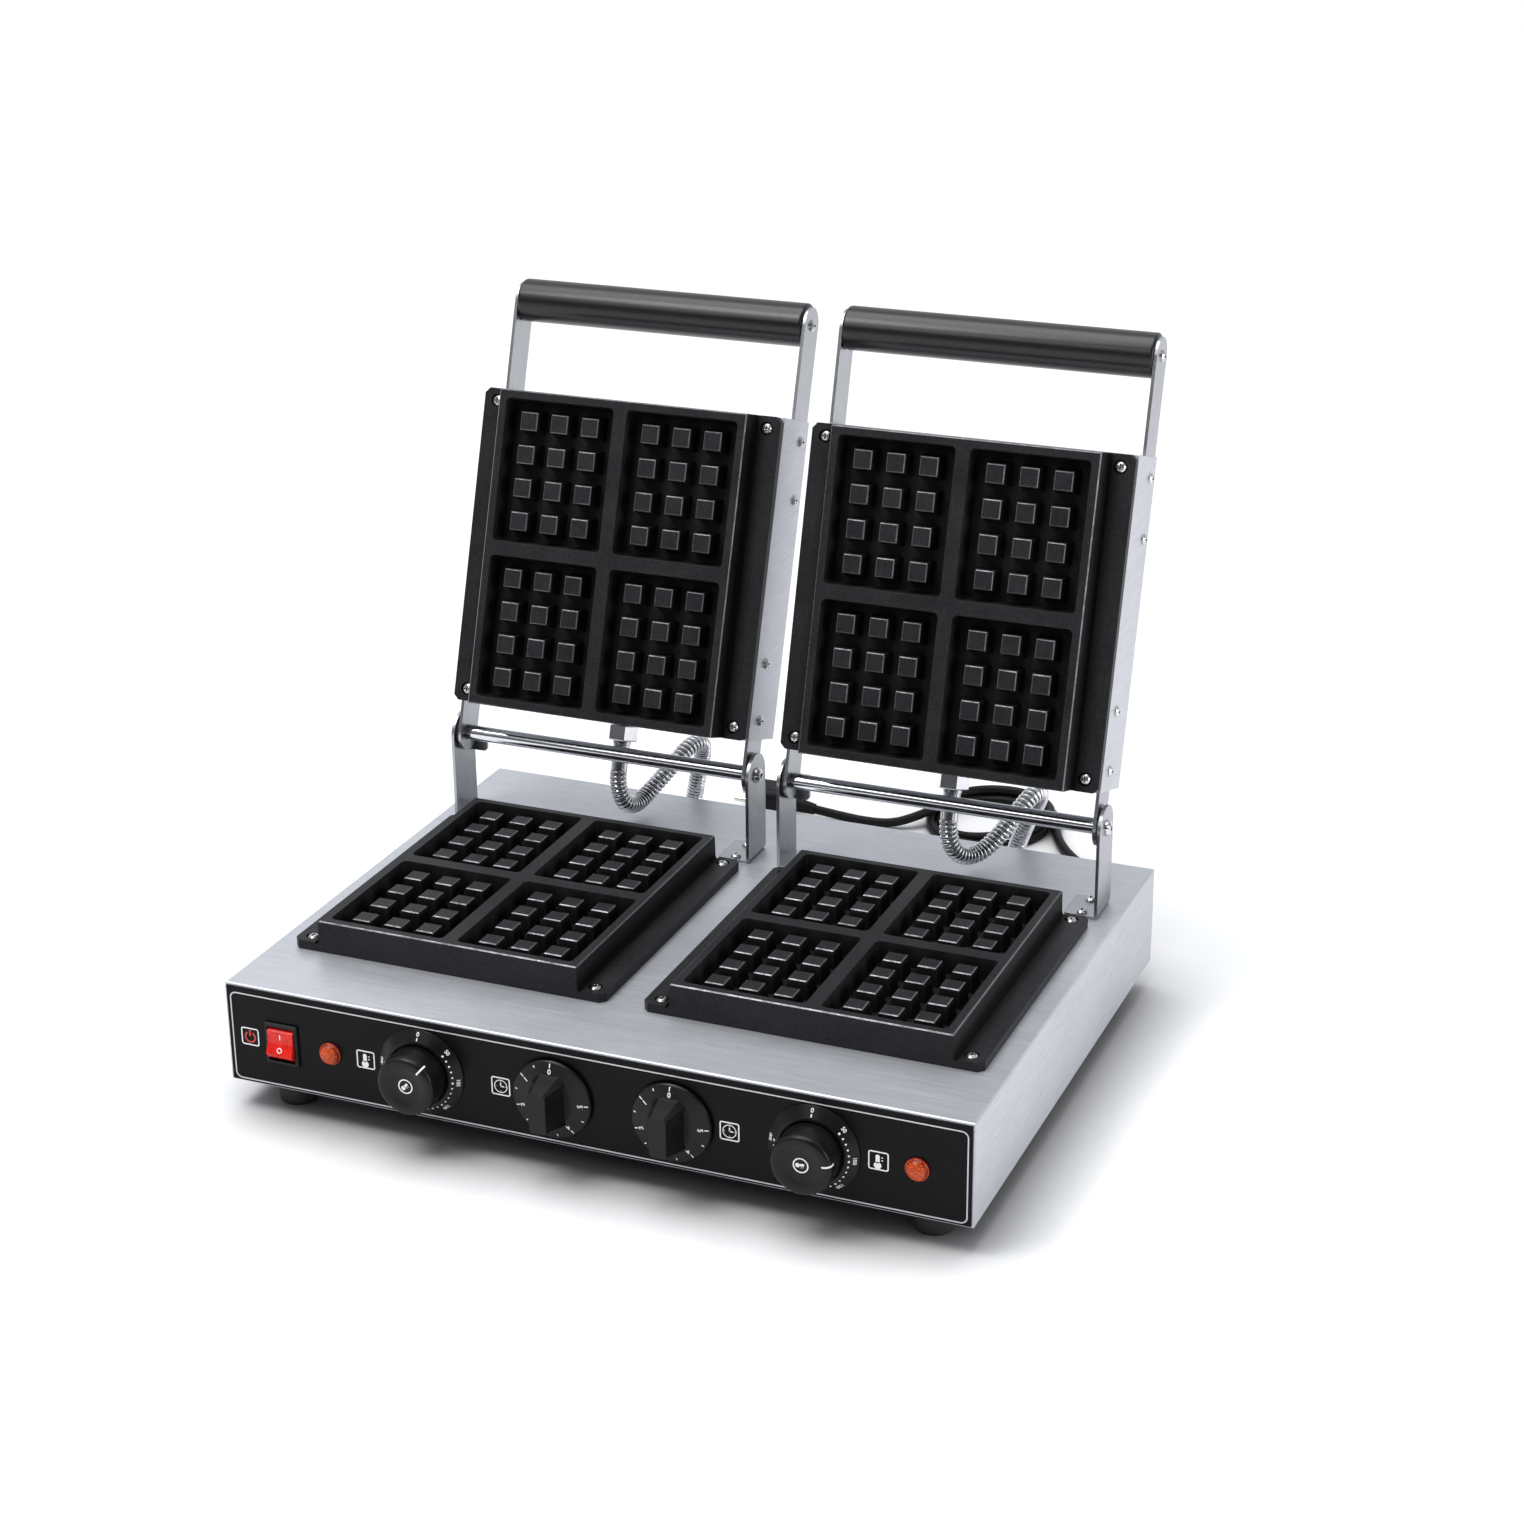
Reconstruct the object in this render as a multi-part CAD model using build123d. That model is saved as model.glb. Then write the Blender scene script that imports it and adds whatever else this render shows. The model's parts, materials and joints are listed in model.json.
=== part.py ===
from build123d import *
import os
import math

# Double waffle maker: a low stainless base with two fixed lower waffle plates,
# and two heads that tip back on their own hinge rods.
# Units: millimetres.  The model is drawn about the centre of the base's top
# face and moved at the end, so that the feet stand on z = 0.

os.makedirs("parts", exist_ok=True)

# ---------------------------------------------------------------- dimensions
BASE_W = 560.0          # base width, X
BASE_D = 426.0          # base depth, Y
BASE_H = 77.0           # base shell height
FOOT_H = 22.0           # foot height below the shell
SHEET = 1.2             # base sheet thickness
LIP = 12.0              # width of the base's bottom return flange

HEAD_X = 138.5          # each plate and head is centred at x = -/+ this
PLATE_W = 248.0         # waffle plate width over its side flanges
PLATE_L = 245.0         # waffle plate length
PLATE_Y = -24.0         # centre of the lower plates
FLANGE_T = 7.0          # thickness of the plate's side flanges
BLOCK_W = 206.5         # width of the raised waffle block
RIM_Z = 24.5            # height of the block's rim above the flange's underside
CAV_W = 91.0            # waffle cavity, X
CAV_L = 110.25          # waffle cavity, Y
CAV_D = 16.0            # cavity depth
DIVIDER = 11.0          # rib between cavities
PEG = 14.0              # square top of a waffle peg
PEG_PITCH = 25.7
PEG_H = 14.0            # peg height above the cavity's floor
DRAFT = 8.0             # casting draft, degrees
SCREW_IN = 113.0        # plate screws at -/+ this from the plate's centre, both ways

HINGE_Y = 125.0         # hinge axis
HINGE_Z = 67.5
OPEN_LEFT = 108.5       # opening angle of each head at its stop, degrees
OPEN_RIGHT = 106.5
RIM_GAP = 0.3           # gap between the two rims when a head is shut
HOUSING_T = 53.7        # depth of a head's box
HOUSING_SHEET = 1.5
ARM_T = 2.5             # hinge arm and handle arm strip
ARM_W = 28.0
HINGE_ARM_LEN = 100.0
GRIP_U = 344.0          # grip centre from the hinge axis, along the head
GRIP_V = -20.0          # grip centre behind the hinge axis plane
GRIP_D = 33.5
HANDLE_ARM_START = 196.0

BRACKET_W = 34.0        # hinge bracket
BRACKET_T = 2.5
BRACKET_OUT = 127.0     # outer face of a bracket from the head's centre
BRACKET_FOOT = 26.0
STOP_TAB = 12.0         # inward reach of the stop tab
STOP_DROP = 21.0
ROD_D = 12.0
NECK_D = 8.0
NECK_CLEAR = 0.05       # radial running clearance of the arm on the neck

PANEL_T = 1.0
CTRL_Z = -40.5          # centre line of the controls
PANEL_MID = 22.5        # controls are laid out to both sides of this x
TEMP_X = 146.2
TIMER_X = 44.5
LAMP_X = 218.7
SWITCH_X = -235.0

HOSE_D = 13.7           # corrugated hose, outside
CORD_D = 7.8            # mains lead

FLOOR = -(BASE_H + FOOT_H)
FRONT = -BASE_D / 2
REAR = BASE_D / 2
HEAD_V = HINGE_Z - RIM_Z - RIM_GAP - RIM_Z      # v of the head's box front face
LEAN_L = math.radians(OPEN_LEFT - 90)
LEAN_R = math.radians(OPEN_RIGHT - 90)
KNOB_FRONT = FRONT - 27.0
REARMOST = HINGE_Y + GRIP_U * math.sin(LEAN_L) - GRIP_V * math.cos(LEAN_L) + GRIP_D / 2
Y_SHIFT = -(REARMOST + KNOB_FRONT) / 2
TO_ROW = Location((0, Y_SHIFT, -FLOOR))

nodes = {}


def put(name, *solids):
    nodes.setdefault(name, [])
    for s in solids:
        for one in s.solids():
            nodes[name].append(one)


def box(x0, x1, y0, y1, z0, z1):
    return Location(((x0 + x1) / 2, (y0 + y1) / 2, (z0 + z1) / 2)) * Box(x1 - x0, y1 - y0, z1 - z0)


def cyl(axis, at, r, a, b):
    """Cylinder of radius r along X, Y or Z from a to b through point at (the other two coordinates)."""
    c = Cylinder(r, abs(b - a))
    m = (a + b) / 2
    if axis == "x":
        return Location((m, at[0], at[1]), (0, 90, 0)) * c
    if axis == "y":
        return Location((at[0], m, at[1]), (90, 0, 0)) * c
    return Location((at[0], at[1], m)) * c


def hexprism(axis, at, across, a, b):
    p = extrude(RegularPolygon(across / 2, 6, major_radius=False), amount=abs(b - a))
    lo = min(a, b)
    if axis == "x":
        return Plane(origin=(lo, at[0], at[1]), x_dir=(0, 1, 0), z_dir=(1, 0, 0)).location * p
    if axis == "y":
        return Plane(origin=(at[0], lo, at[1]), x_dir=(1, 0, 0), z_dir=(0, 1, 0)).location * p
    return Location((at[0], at[1], lo)) * p


def pan_screw(d=4.0, head=8.0, head_h=2.6, length=12.0, slot=True):
    """Cross-recess pan head screw: head above z = 0, shank below."""
    r = head / 2
    prof = Polyline((0, 0), (r, 0), (r, head_h * 0.45), (r * 0.72, head_h * 0.9), (r * 0.4, head_h), (0, head_h), close=True)
    s = revolve(Plane.XZ * make_face(prof), Axis.Z)
    s = s + Location((0, 0, -length / 2 + 0.25)) * Cylinder(d / 2, length + 0.5)
    if slot:
        k = head * 0.62
        s = s - Location((0, 0, head_h)) * (Box(k, head * 0.13, 2.4) + Box(head * 0.13, k, 2.4))
    return s


def tube_radii(pts):
    v = [Vector(*p) for p in pts]
    out = []
    for i in range(1, len(v) - 1):
        a, b = v[i] - v[i - 1], v[i + 1] - v[i]
        out.append(0.45 * min(a.length, b.length) / math.tan(math.radians(a.get_angle(b)) / 2))
    return out


def tube(name, pts, d):
    radii = tube_radii(pts)
    path = FilletPolyline(*[Vector(*p) for p in pts], radius=radii)
    sec = Plane(origin=path @ 0, z_dir=path % 0) * Circle(d / 2)
    s = sweep(sec, path=path)
    want = math.pi * d * d / 4 * path.length
    print(name, "radii", [round(r, 1) for r in radii], "length", round(path.length, 1),
          "volume ratio", round(s.volume / want, 4))
    return s


# ---------------------------------------------------------------- base shell
def base_housing():
    s = box(-BASE_W / 2, BASE_W / 2, FRONT, REAR, -BASE_H, 0)
    s = fillet(s.edges().group_by(Axis.Z)[-1], 1.6)
    s -= box(-BASE_W / 2 + SHEET, BASE_W / 2 - SHEET, FRONT + SHEET, REAR - SHEET, -BASE_H + SHEET, -SHEET)
    s -= box(-BASE_W / 2 + LIP, BASE_W / 2 - LIP, FRONT + LIP, REAR - LIP, -BASE_H - 1, -BASE_H + SHEET + 1)
    cuts = []
    for sx in (-1, 1):
        cuts.append(box(sx * HEAD_X - 90, sx * HEAD_X + 90, PLATE_Y - 102.5, PLATE_Y + 102.5, -5, 5))
        for ix in (-1, 1):
            for iy in (-1, 1):
                cuts.append(cyl("z", (sx * HEAD_X + ix * SCREW_IN, PLATE_Y + iy * SCREW_IN), 2.2, -5, 5))
            for y in BRACKET_SCREWS:
                cuts.append(cyl("z", (sx * HEAD_X + ix * (BRACKET_OUT - 13), y), 2.2, -5, 5))
    cuts.append(box(SWITCH_X - 11.2, SWITCH_X + 11.2, FRONT - 2, FRONT + 3, CTRL_Z - 14.2, CTRL_Z + 14.2))
    for sx in (-1, 1):
        cuts.append(cyl("y", (PANEL_MID + sx * TEMP_X, CTRL_Z), 5.1, FRONT - 2, FRONT + 3))
        cuts.append(cyl("y", (PANEL_MID + sx * TIMER_X, CTRL_Z), 5.1, FRONT - 2, FRONT + 3))
        cuts.append(cyl("y", (PANEL_MID + sx * LAMP_X, CTRL_Z), 6.1, FRONT - 2, FRONT + 3))
    for x, z in HOSE_GLANDS:
        cuts.append(cyl("y", (x, z), 8.1, REAR - 3, REAR + 3))
    cuts.append(cyl("y", CORD_GLAND, 6.6, REAR - 3, REAR + 3))
    for x, y in COVER_SCREWS:
        cuts.append(cyl("z", (x, y), 1.8, -BASE_H - 1, -BASE_H + 3))
    for c in cuts:
        s -= c
    return s


BRACKET_SCREWS = (HINGE_Y - 12.0, HINGE_Y + 11.0)
HOSE_GLANDS = ((-121.0, -37.6), (156.0, -37.6))
CORD_GLAND = (215.0, -49.0)
COVER_SCREWS = [(sx * 274, sy * 100) for sx in (-1, 1) for sy in (-1, 1)] + \
               [(sx * 140, sy * 207) for sx in (-1, 1) for sy in (-1, 1)]
FEET = [(sx * 243, sy * 184.5) for sx in (-1, 1) for sy in (-1, 1)]
COVER_Z = -BASE_H + SHEET

put("base_housing", base_housing())

cover = box(-277.5, 277.5, -210.5, 210.5, COVER_Z, COVER_Z + 1)
for x, y in COVER_SCREWS:
    cover -= cyl("z", (x, y), 1.6, COVER_Z - 1, COVER_Z + 2)
for x, y in FEET:
    cover -= cyl("z", (x, y), 2.7, COVER_Z - 1, COVER_Z + 2)
slots = None
for sx in (-1, 1):
    for i in range(9):
        one = Location((sx * 138.5, -72 + i * 14, COVER_Z + 0.5)) * extrude(SlotOverall(110, 4.5), amount=3, both=True)
        cover -= one
put("bottom_cover", cover)
for x, y in COVER_SCREWS:
    put("bottom_cover_screws", Location((x, y, -BASE_H), (180, 0, 0)) * pan_screw(3.0, 5.6, 1.8, 5.0))

panel = box(-BASE_W / 2 + 1.5, BASE_W / 2 - 1.5, FRONT - PANEL_T, FRONT, -BASE_H + 1.0, -1.8)
panel -= box(SWITCH_X - 11.2, SWITCH_X + 11.2, FRONT - 2, FRONT + 1, CTRL_Z - 14.2, CTRL_Z + 14.2)
for sx in (-1, 1):
    panel -= cyl("y", (PANEL_MID + sx * TEMP_X, CTRL_Z), 5.1, FRONT - 2, FRONT + 1)
    panel -= cyl("y", (PANEL_MID + sx * TIMER_X, CTRL_Z), 5.1, FRONT - 2, FRONT + 1)
    panel -= cyl("y", (PANEL_MID + sx * LAMP_X, CTRL_Z), 6.1, FRONT - 2, FRONT + 1)
put("control_panel", panel)

foot_top = COVER_Z
foot_prof = Polyline((2.7, FLOOR + 8), (5.5, FLOOR + 8), (5.5, FLOOR), (13.2, FLOOR), (14.0, FLOOR + 1.2),
                     (15.4, foot_top), (2.7, foot_top), close=True)
foot = revolve(Plane.XZ * make_face(foot_prof), Axis.Z)
for x, y in FEET:
    put("rubber_feet", Location((x, y, 0)) * foot)
    screw = Location((x, y, FLOOR + 8), (180, 0, 0)) * pan_screw(5.0, 9.5, 3.2, 24.0)
    put("foot_screws", screw)
    put("foot_screws", hexprism("z", (x, y), 8.0, COVER_Z + 1, COVER_Z + 5) - cyl("z", (x, y), 2.55, COVER_Z, COVER_Z + 6))


# ---------------------------------------------------------------- waffle plate
def waffle_plate():
    """Casting: underside at z = 0, waffle side up, centred in x and y."""
    fl = extrude(Rectangle(PLATE_W, PLATE_L), amount=FLANGE_T)
    fl = chamfer(fl.edges().filter_by(Axis.Z), 4.0)
    blk = Location((0, 0, FLANGE_T - 0.5)) * extrude(Rectangle(BLOCK_W, PLATE_L), amount=RIM_Z - FLANGE_T + 0.5, taper=1.0)
    s = fl + blk
    s = chamfer(s.edges().group_by(Axis.Z)[-1], 0.9)
    cx = (CAV_W + DIVIDER) / 2
    cy = (CAV_L + DIVIDER) / 2
    for ix in (-1, 1):
        for iy in (-1, 1):
            at = Location((ix * cx, iy * cy, RIM_Z))
            cav = at * Rotation(180, 0, 0) * extrude(RectangleRounded(CAV_W, CAV_L, 4.0), amount=CAV_D, taper=DRAFT)
            s -= cav
    base = PEG + 2 * PEG_H * math.tan(math.radians(DRAFT))
    pegs = []
    for ix in (-1, 1):
        for iy in (-1, 1):
            for px in (-1, 0, 1):
                for py in (-1.5, -0.5, 0.5, 1.5):
                    at = Location((ix * cx + px * PEG_PITCH, iy * cy + py * PEG_PITCH, RIM_Z - CAV_D - 0.3))
                    peg = extrude(Rectangle(base, base), amount=PEG_H + 0.3, taper=DRAFT)
                    peg = chamfer(peg.edges().group_by(Axis.Z)[-1], 0.7)
                    pegs.append(at * peg)
    s = s.fuse(*pegs)
    # element pocket and screw pockets
    s -= box(-88, 88, -100, 100, -1, 4.0)
    for ix in (-1, 1):
        for iy in (-1, 1):
            p = (ix * SCREW_IN, iy * SCREW_IN)
            s -= cyl("z", p, 2.2, -1, 12)
            s -= cyl("z", p, 5.2, FLANGE_T - 1.6, FLANGE_T + 3)
    # shallow channel between the flange and the block
    for ix in (-1, 1):
        s -= box(min(ix * 103.6, ix * 106.4), max(ix * 103.6, ix * 106.4), -PLATE_L / 2 - 1, PLATE_L / 2 + 1, FLANGE_T - 1.4, FLANGE_T + 0.2)
    return s


PLATE = waffle_plate()
print("plate solids", len(PLATE.solids()), "valid", PLATE.is_valid if not callable(PLATE.is_valid) else PLATE.is_valid())


def element():
    """Tubular heating element in the pocket, with both ends turned down."""
    x, y, z = 74.0, 84.0, 0.1
    pts = [(-12, -56, -34), (-12, -56, z), (-12, y - 14, z), (-x / 2 - 6, y, z), (-x, y - 20, z), (-x, -y, z),
           (x, -y, z), (x, y - 20, z), (x / 2 + 6, y, z), (12, y - 14, z), (12, -56, z), (12, -56, -34)]
    radii = [10, 12, 16, 16, 18, 18, 16, 16, 12, 10]
    path = FilletPolyline(*[Vector(*p) for p in pts], radius=radii)
    sec = Plane(origin=path @ 0, z_dir=path % 0) * Circle(3.6)
    return sweep(sec, path=path)


def heat_shield():
    """Shallow steel tray under the element, its rim against the sheet above it."""
    t = box(-97, 97, -110, 110, -16, -SHEET)
    t -= box(-96, 96, -109, 109, -15.2, 1)
    for sx in (-1, 1):
        t -= cyl("z", (sx * 12, -56), 4.6, -20, -10)
    return t


ELEMENT = element()
SHIELD = heat_shield()

for side, sx in (("left", -1), ("right", 1)):
    at = Location((sx * HEAD_X, PLATE_Y, 0))
    put(side + "_lower_plate", at * PLATE)
    put("lower_elements", at * ELEMENT)
    put("lower_heat_shields", at * SHIELD)
    for ix in (-1, 1):
        for iy in (-1, 1):
            put("lower_plate_screws", Location((sx * HEAD_X + ix * SCREW_IN, PLATE_Y + iy * SCREW_IN, FLANGE_T - 1.6)) * pan_screw(length=14))


# ---------------------------------------------------------------- hinge brackets
def bracket(hand, lean):
    """L bracket of a head whose centre is x = 0; hand is the side it stands on."""
    y0, y1 = HINGE_Y - BRACKET_W / 2, HINGE_Y + BRACKET_W / 2
    x0, x1 = BRACKET_OUT - BRACKET_T, BRACKET_OUT
    plate = box(x0, x1, y0, y1, 0, HINGE_Z) + cyl("x", (HINGE_Y, HINGE_Z), BRACKET_W / 2, x0, x1)
    footp = box(BRACKET_OUT - BRACKET_FOOT, x1, y0, y1, 0, BRACKET_T)
    s = plate + footp
    s = fillet(s.edges().filter_by(Axis.Y).filter_by(lambda e: abs(e.center().X - x1) < 0.01 and abs(e.center().Z) < 0.01), 3.5)
    s = fillet(s.edges().filter_by(Axis.Z).filter_by(lambda e: e.center().X < BRACKET_OUT - BRACKET_FOOT + 0.1), 3.0)
    # stop tab: the hinge arm's rear edge rests on its upper front edge
    ty0 = y1 - BRACKET_T
    off = ty0 - HINGE_Y
    u = (off - ARM_W / 2 * math.cos(lean)) / math.sin(lean)
    z_touch = HINGE_Z + u * math.cos(lean) - ARM_W / 2 * math.sin(lean)
    tab = box(x0 - STOP_TAB, x0 + 1, ty0, y1, HINGE_Z - STOP_DROP, z_touch - 0.2)
    tab = fillet(tab.edges().filter_by(Axis.Y).filter_by(lambda e: e.center().X < x0 - STOP_TAB + 0.1 and e.center().Z < HINGE_Z - 5), 3.0)
    s = s + tab
    s -= cyl("x", (HINGE_Y, HINGE_Z), 3.2, x0 - 1, x1 + 1)
    for y in BRACKET_SCREWS:
        s -= cyl("z", (BRACKET_OUT - 13, y), 2.2, -1, 4)
    if hand < 0:
        s = mirror(s, about=Plane.YZ)
    return s


def dome_bolt():
    """Low dome head above z = 0, M6 shank below."""
    prof = make_face(Polyline((0, 0), (6.2, 0), (6.0, 1.4), (5.0, 2.7), (3.2, 3.6), (0, 3.9), close=True))
    s = revolve(Plane.XZ * prof, Axis.Z) + Location((0, 0, -7.25)) * Cylinder(3.0, 15.5)
    s -= Location((0, 0, 2.6)) * extrude(RegularPolygon(2.0, 6, major_radius=False), amount=3)
    return s


for side, sx, lean in (("left", -1, LEAN_L), ("right", 1, LEAN_R)):
    c = Location((sx * HEAD_X, 0, 0))
    for hand in (-1, 1):
        put(side + "_hinge_brackets", c * bracket(hand, lean))
        for y in BRACKET_SCREWS:
            put("bracket_screws", Location((sx * HEAD_X + hand * (BRACKET_OUT - 13), y, BRACKET_T)) * pan_screw(length=9))
        a, b = hand * (BRACKET_OUT - BRACKET_T), hand * (BRACKET_OUT - BRACKET_T - 1.9)
        w = cyl("x", (HINGE_Y, HINGE_Z), ARM_W / 2, a, b) - cyl("x", (HINGE_Y, HINGE_Z), NECK_D / 2 + 0.05, a + hand * 2, b - hand * 2)
        put("hinge_washers", c * w)
        bolt = Location((sx * HEAD_X + hand * BRACKET_OUT, HINGE_Y, HINGE_Z), (0, hand * 90, 0)) * dome_bolt()
        put("hinge_bolts", bolt)
    rod_end = BRACKET_OUT - BRACKET_T
    rod = cyl("x", (HINGE_Y, HINGE_Z), ROD_D / 2, -111, 111)
    rod = chamfer(rod.edges().filter_by(GeomType.CIRCLE), 1.0)
    rod += cyl("x", (HINGE_Y, HINGE_Z), NECK_D / 2, -rod_end, rod_end)
    for hand in (-1, 1):
        rod -= cyl("x", (HINGE_Y, HINGE_Z), 3.05, hand * (rod_end + 1), hand * (rod_end - 13.2))
    put("hinge_rods", c * rod)

# ---------------------------------------------------------------- controls
# rocker switch
SW = (SWITCH_X, CTRL_Z)
body = box(SW[0] - 13, SW[0] + 13, FRONT - PANEL_T - 2.6, FRONT - PANEL_T, SW[1] - 16, SW[1] + 16)
body = chamfer(body.edges().filter_by(lambda e: e.center().Y < FRONT - PANEL_T - 2.5), 1.0)
body += box(SW[0] - 11, SW[0] + 11, FRONT - PANEL_T, FRONT + 22, SW[1] - 14, SW[1] + 14)
body -= box(SW[0] - 10.7, SW[0] + 10.7, FRONT - 10, FRONT + 12, SW[1] - 13.4, SW[1] + 13.4)
for dx in (-6, 6):
    for dz in (-7, 7):
        body += box(SW[0] + dx - 3.1, SW[0] + dx + 3.1, FRONT + 21.5, FRONT + 31, SW[1] + dz - 0.4, SW[1] + dz + 0.4)
ROCK_Y = FRONT + 3.5            # rocker pivot
pivot = cyl("x", (ROCK_Y, CTRL_Z), 1.5, SW[0] - 10.9, SW[0] + 10.9)
put("switch_body", body + (cyl("x", (ROCK_Y, CTRL_Z), 1.5, SW[0] - 10.9, SW[0] - 10.3) + cyl("x", (ROCK_Y, CTRL_Z), 1.5, SW[0] + 10.3, SW[0] + 10.9)))
ROCK_R = 13.0
ROCK_HALF = 11.0                # tilt each side of the middle, degrees
t = math.tan(math.radians(ROCK_HALF))
yv = -8.3                       # depth of the valley in front of the pivot
zc = math.sqrt(ROCK_R ** 2 - 9.6 ** 2)
# profile in (y, z) about the pivot, in the middle position
edge_z = 9.0
for _ in range(30):
    edge_y = yv - edge_z * t
    edge_z = math.sqrt(max(1.0, ROCK_R ** 2 - edge_y ** 2))
edge_y = yv - edge_z * t
back_z = 9.0
back_y = math.sqrt(ROCK_R ** 2 - back_z ** 2) * 0.55
with BuildSketch(Plane.YZ) as rk:
    with BuildLine():
        p1, p2 = (edge_y, edge_z), (edge_y, -edge_z)
        Polyline(p1, (yv, 0), p2)
        ThreePointArc(p2, (-1.0, -math.sqrt(ROCK_R ** 2 - 1.0)), (4.0, -math.sqrt(ROCK_R ** 2 - 16.0)))
        Polyline((4.0, -math.sqrt(ROCK_R ** 2 - 16.0)), (4.0, math.sqrt(ROCK_R ** 2 - 16.0)))
        ThreePointArc((4.0, math.sqrt(ROCK_R ** 2 - 16.0)), (-1.0, math.sqrt(ROCK_R ** 2 - 1.0)), p1)
    make_face()
rocker = extrude(rk.sketch, amount=10.2, both=True)
rocker -= cyl("x", (0, 0), 1.56, -12, 12)
rocker = Location((SW[0], ROCK_Y, CTRL_Z)) * Rotation(-ROCK_HALF, 0, 0) * rocker
put("power_rocker", rocker)

# lamps
for sx in (-1, 1):
    x = PANEL_MID + sx * LAMP_X
    y = FRONT - PANEL_T
    lens = revolve(Plane.XZ * make_face(Polyline((0, 0), (8.5, 0), (8.5, 1.6), (7.6, 3.6), (5.4, 5.4), (0, 6.2), close=True)), Axis.Z)
    put("lamp_lenses", Plane(origin=(x, y, CTRL_Z), x_dir=(1, 0, 0), z_dir=(0, -1, 0)).location * lens)
    put("lamp_bodies", cyl("y", (x, CTRL_Z), 6.0, y, FRONT + 24) + cyl("y", (x, CTRL_Z), 8.4, FRONT + SHEET, FRONT + 4)
        + box(x - 3.2, x - 2.6, FRONT + 23, FRONT + 31, CTRL_Z - 3, CTRL_Z + 3) + box(x + 2.6, x + 3.2, FRONT + 23, FRONT + 31, CTRL_Z - 3, CTRL_Z + 3))


def control_body(x, w, h, d, foot_d=9.9):
    """Thermostat or timer case behind the front wall, with its threaded bush through the wall."""
    y = FRONT + SHEET
    s = box(x - w / 2, x + w / 2, y, y + d, CTRL_Z - h / 2, CTRL_Z + h / 2)
    s = fillet(s.edges().filter_by(Axis.Y), 3.0)
    s += cyl("y", (x, CTRL_Z), foot_d / 2, FRONT - PANEL_T - 1.5, y + 1)
    s -= cyl("y", (x, CTRL_Z), 3.05, FRONT - 10, y + 14)
    for dx in (-10, 10):
        s += box(x + dx - 3, x + dx + 3, y + d - 0.5, y + d + 8, CTRL_Z - 0.4, CTRL_Z + 0.4)
    return s


def spindle(x, front):
    s = cyl("y", (x, CTRL_Z), 3.0, front, FRONT + SHEET + 13)
    s -= box(x - 4, x + 4, front - 1, FRONT - PANEL_T - 3, CTRL_Z + 1.5, CTRL_Z + 4)
    return s


def knob_at(x, profile):
    """Revolved knob: profile is (radius, height above the panel)."""
    k = revolve(Plane.XZ * make_face(Polyline(*profile, close=True)), Axis.Z)
    return Plane(origin=(x, FRONT - PANEL_T, CTRL_Z), x_dir=(1, 0, 0), z_dir=(0, -1, 0)).location * k


KH = FRONT - PANEL_T - KNOB_FRONT       # knob height above the panel
for side, sx in (("left", -1), ("right", 1)):
    x = PANEL_MID + sx * TEMP_X
    put("thermostats", control_body(x, 38, 44, 30))
    ring = knob_at(x, [(23.3, 0), (32.8, 0), (32.8, 1.0), (25.2, 6.0), (23.3, 6.0)])
    put("temp_dials", ring)
    # dished knob with a rounded front edge
    k = knob_at(x, [(5.2, 2.0), (22.0, 2.0), (22.0, KH - 5), (21.9, KH - 3), (21.2, KH - 1.2), (20.0, KH - 0.3), (18.6, KH),
                    (15.5, KH - 0.2), (12.0, KH - 1.0), (8.0, KH - 1.8), (0, KH - 2.1), (0, 12.0), (3.0, 12.0), (5.2, 10.0)])
    k -= cyl("y", (x, CTRL_Z), 3.0, FRONT - PANEL_T - 18, FRONT) - box(x - 4, x + 4, FRONT - 30, FRONT - PANEL_T - 3, CTRL_Z + 1.5, CTRL_Z + 4)
    put(side + "_temp_knob", k)
    put(side + "_temp_spindle", spindle(x, FRONT - PANEL_T - 17.5))
    # timer
    x = PANEL_MID + sx * TIMER_X
    put("timers", control_body(x, 46, 46, 34))
    k = knob_at(x, [(5.2, 2.0), (29.3, 2.0), (29.5, 2.8), (28.6, 4.0), (19.0, 6.6), (17.0, 7.4), (0, 7.4)])
    pl = Plane(origin=(x, FRONT - PANEL_T - 6.0, CTRL_Z), x_dir=(1, 0, 0), z_dir=(0, -1, 0))
    low = pl * Polygon((-12, -16), (-7, -19.5), (7, -19.5), (12, -16), (12, 16), (7, 19.5), (-7, 19.5), (-12, 16))
    high = pl.offset(KH - 6.0) * Polygon((-6.2, -13.5), (-4.7, -15.2), (4.7, -15.2), (6.2, -13.5), (6.2, 13.5), (4.7, 15.2), (-4.7, 15.2), (-6.2, 13.5))
    k += loft([low.faces()[0], high.faces()[0]])
    k -= cyl("y", (x, CTRL_Z), 5.3, FRONT - PANEL_T - 3, FRONT)
    k -= cyl("y", (x, CTRL_Z), 3.0, FRONT - PANEL_T - 18, FRONT) - box(x - 4, x + 4, FRONT - 30, FRONT - PANEL_T - 3, CTRL_Z + 1.5, CTRL_Z + 4)
    put(side + "_timer_knob", k)
    put(side + "_timer_spindle", spindle(x, FRONT - PANEL_T - 17.5))

# terminal block on the bottom cover
tb = box(186, 244, 150, 170, COVER_Z + 1, COVER_Z + 19)
for i in range(5):
    tb -= cyl("z", (192 + i * 11.5, 160), 3.0, COVER_Z + 10, COVER_Z + 20)
put("terminal_block", tb)


# ---------------------------------------------------------------- heads
def head_plane(sx, lean):
    """Local x = row X, local y = u along the head away from the hinge, local z = v out of the waffle side."""
    return Plane(origin=(sx * HEAD_X, HINGE_Y, HINGE_Z), x_dir=(1, 0, 0), z_dir=(0, -math.cos(lean), math.sin(lean)))


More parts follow.
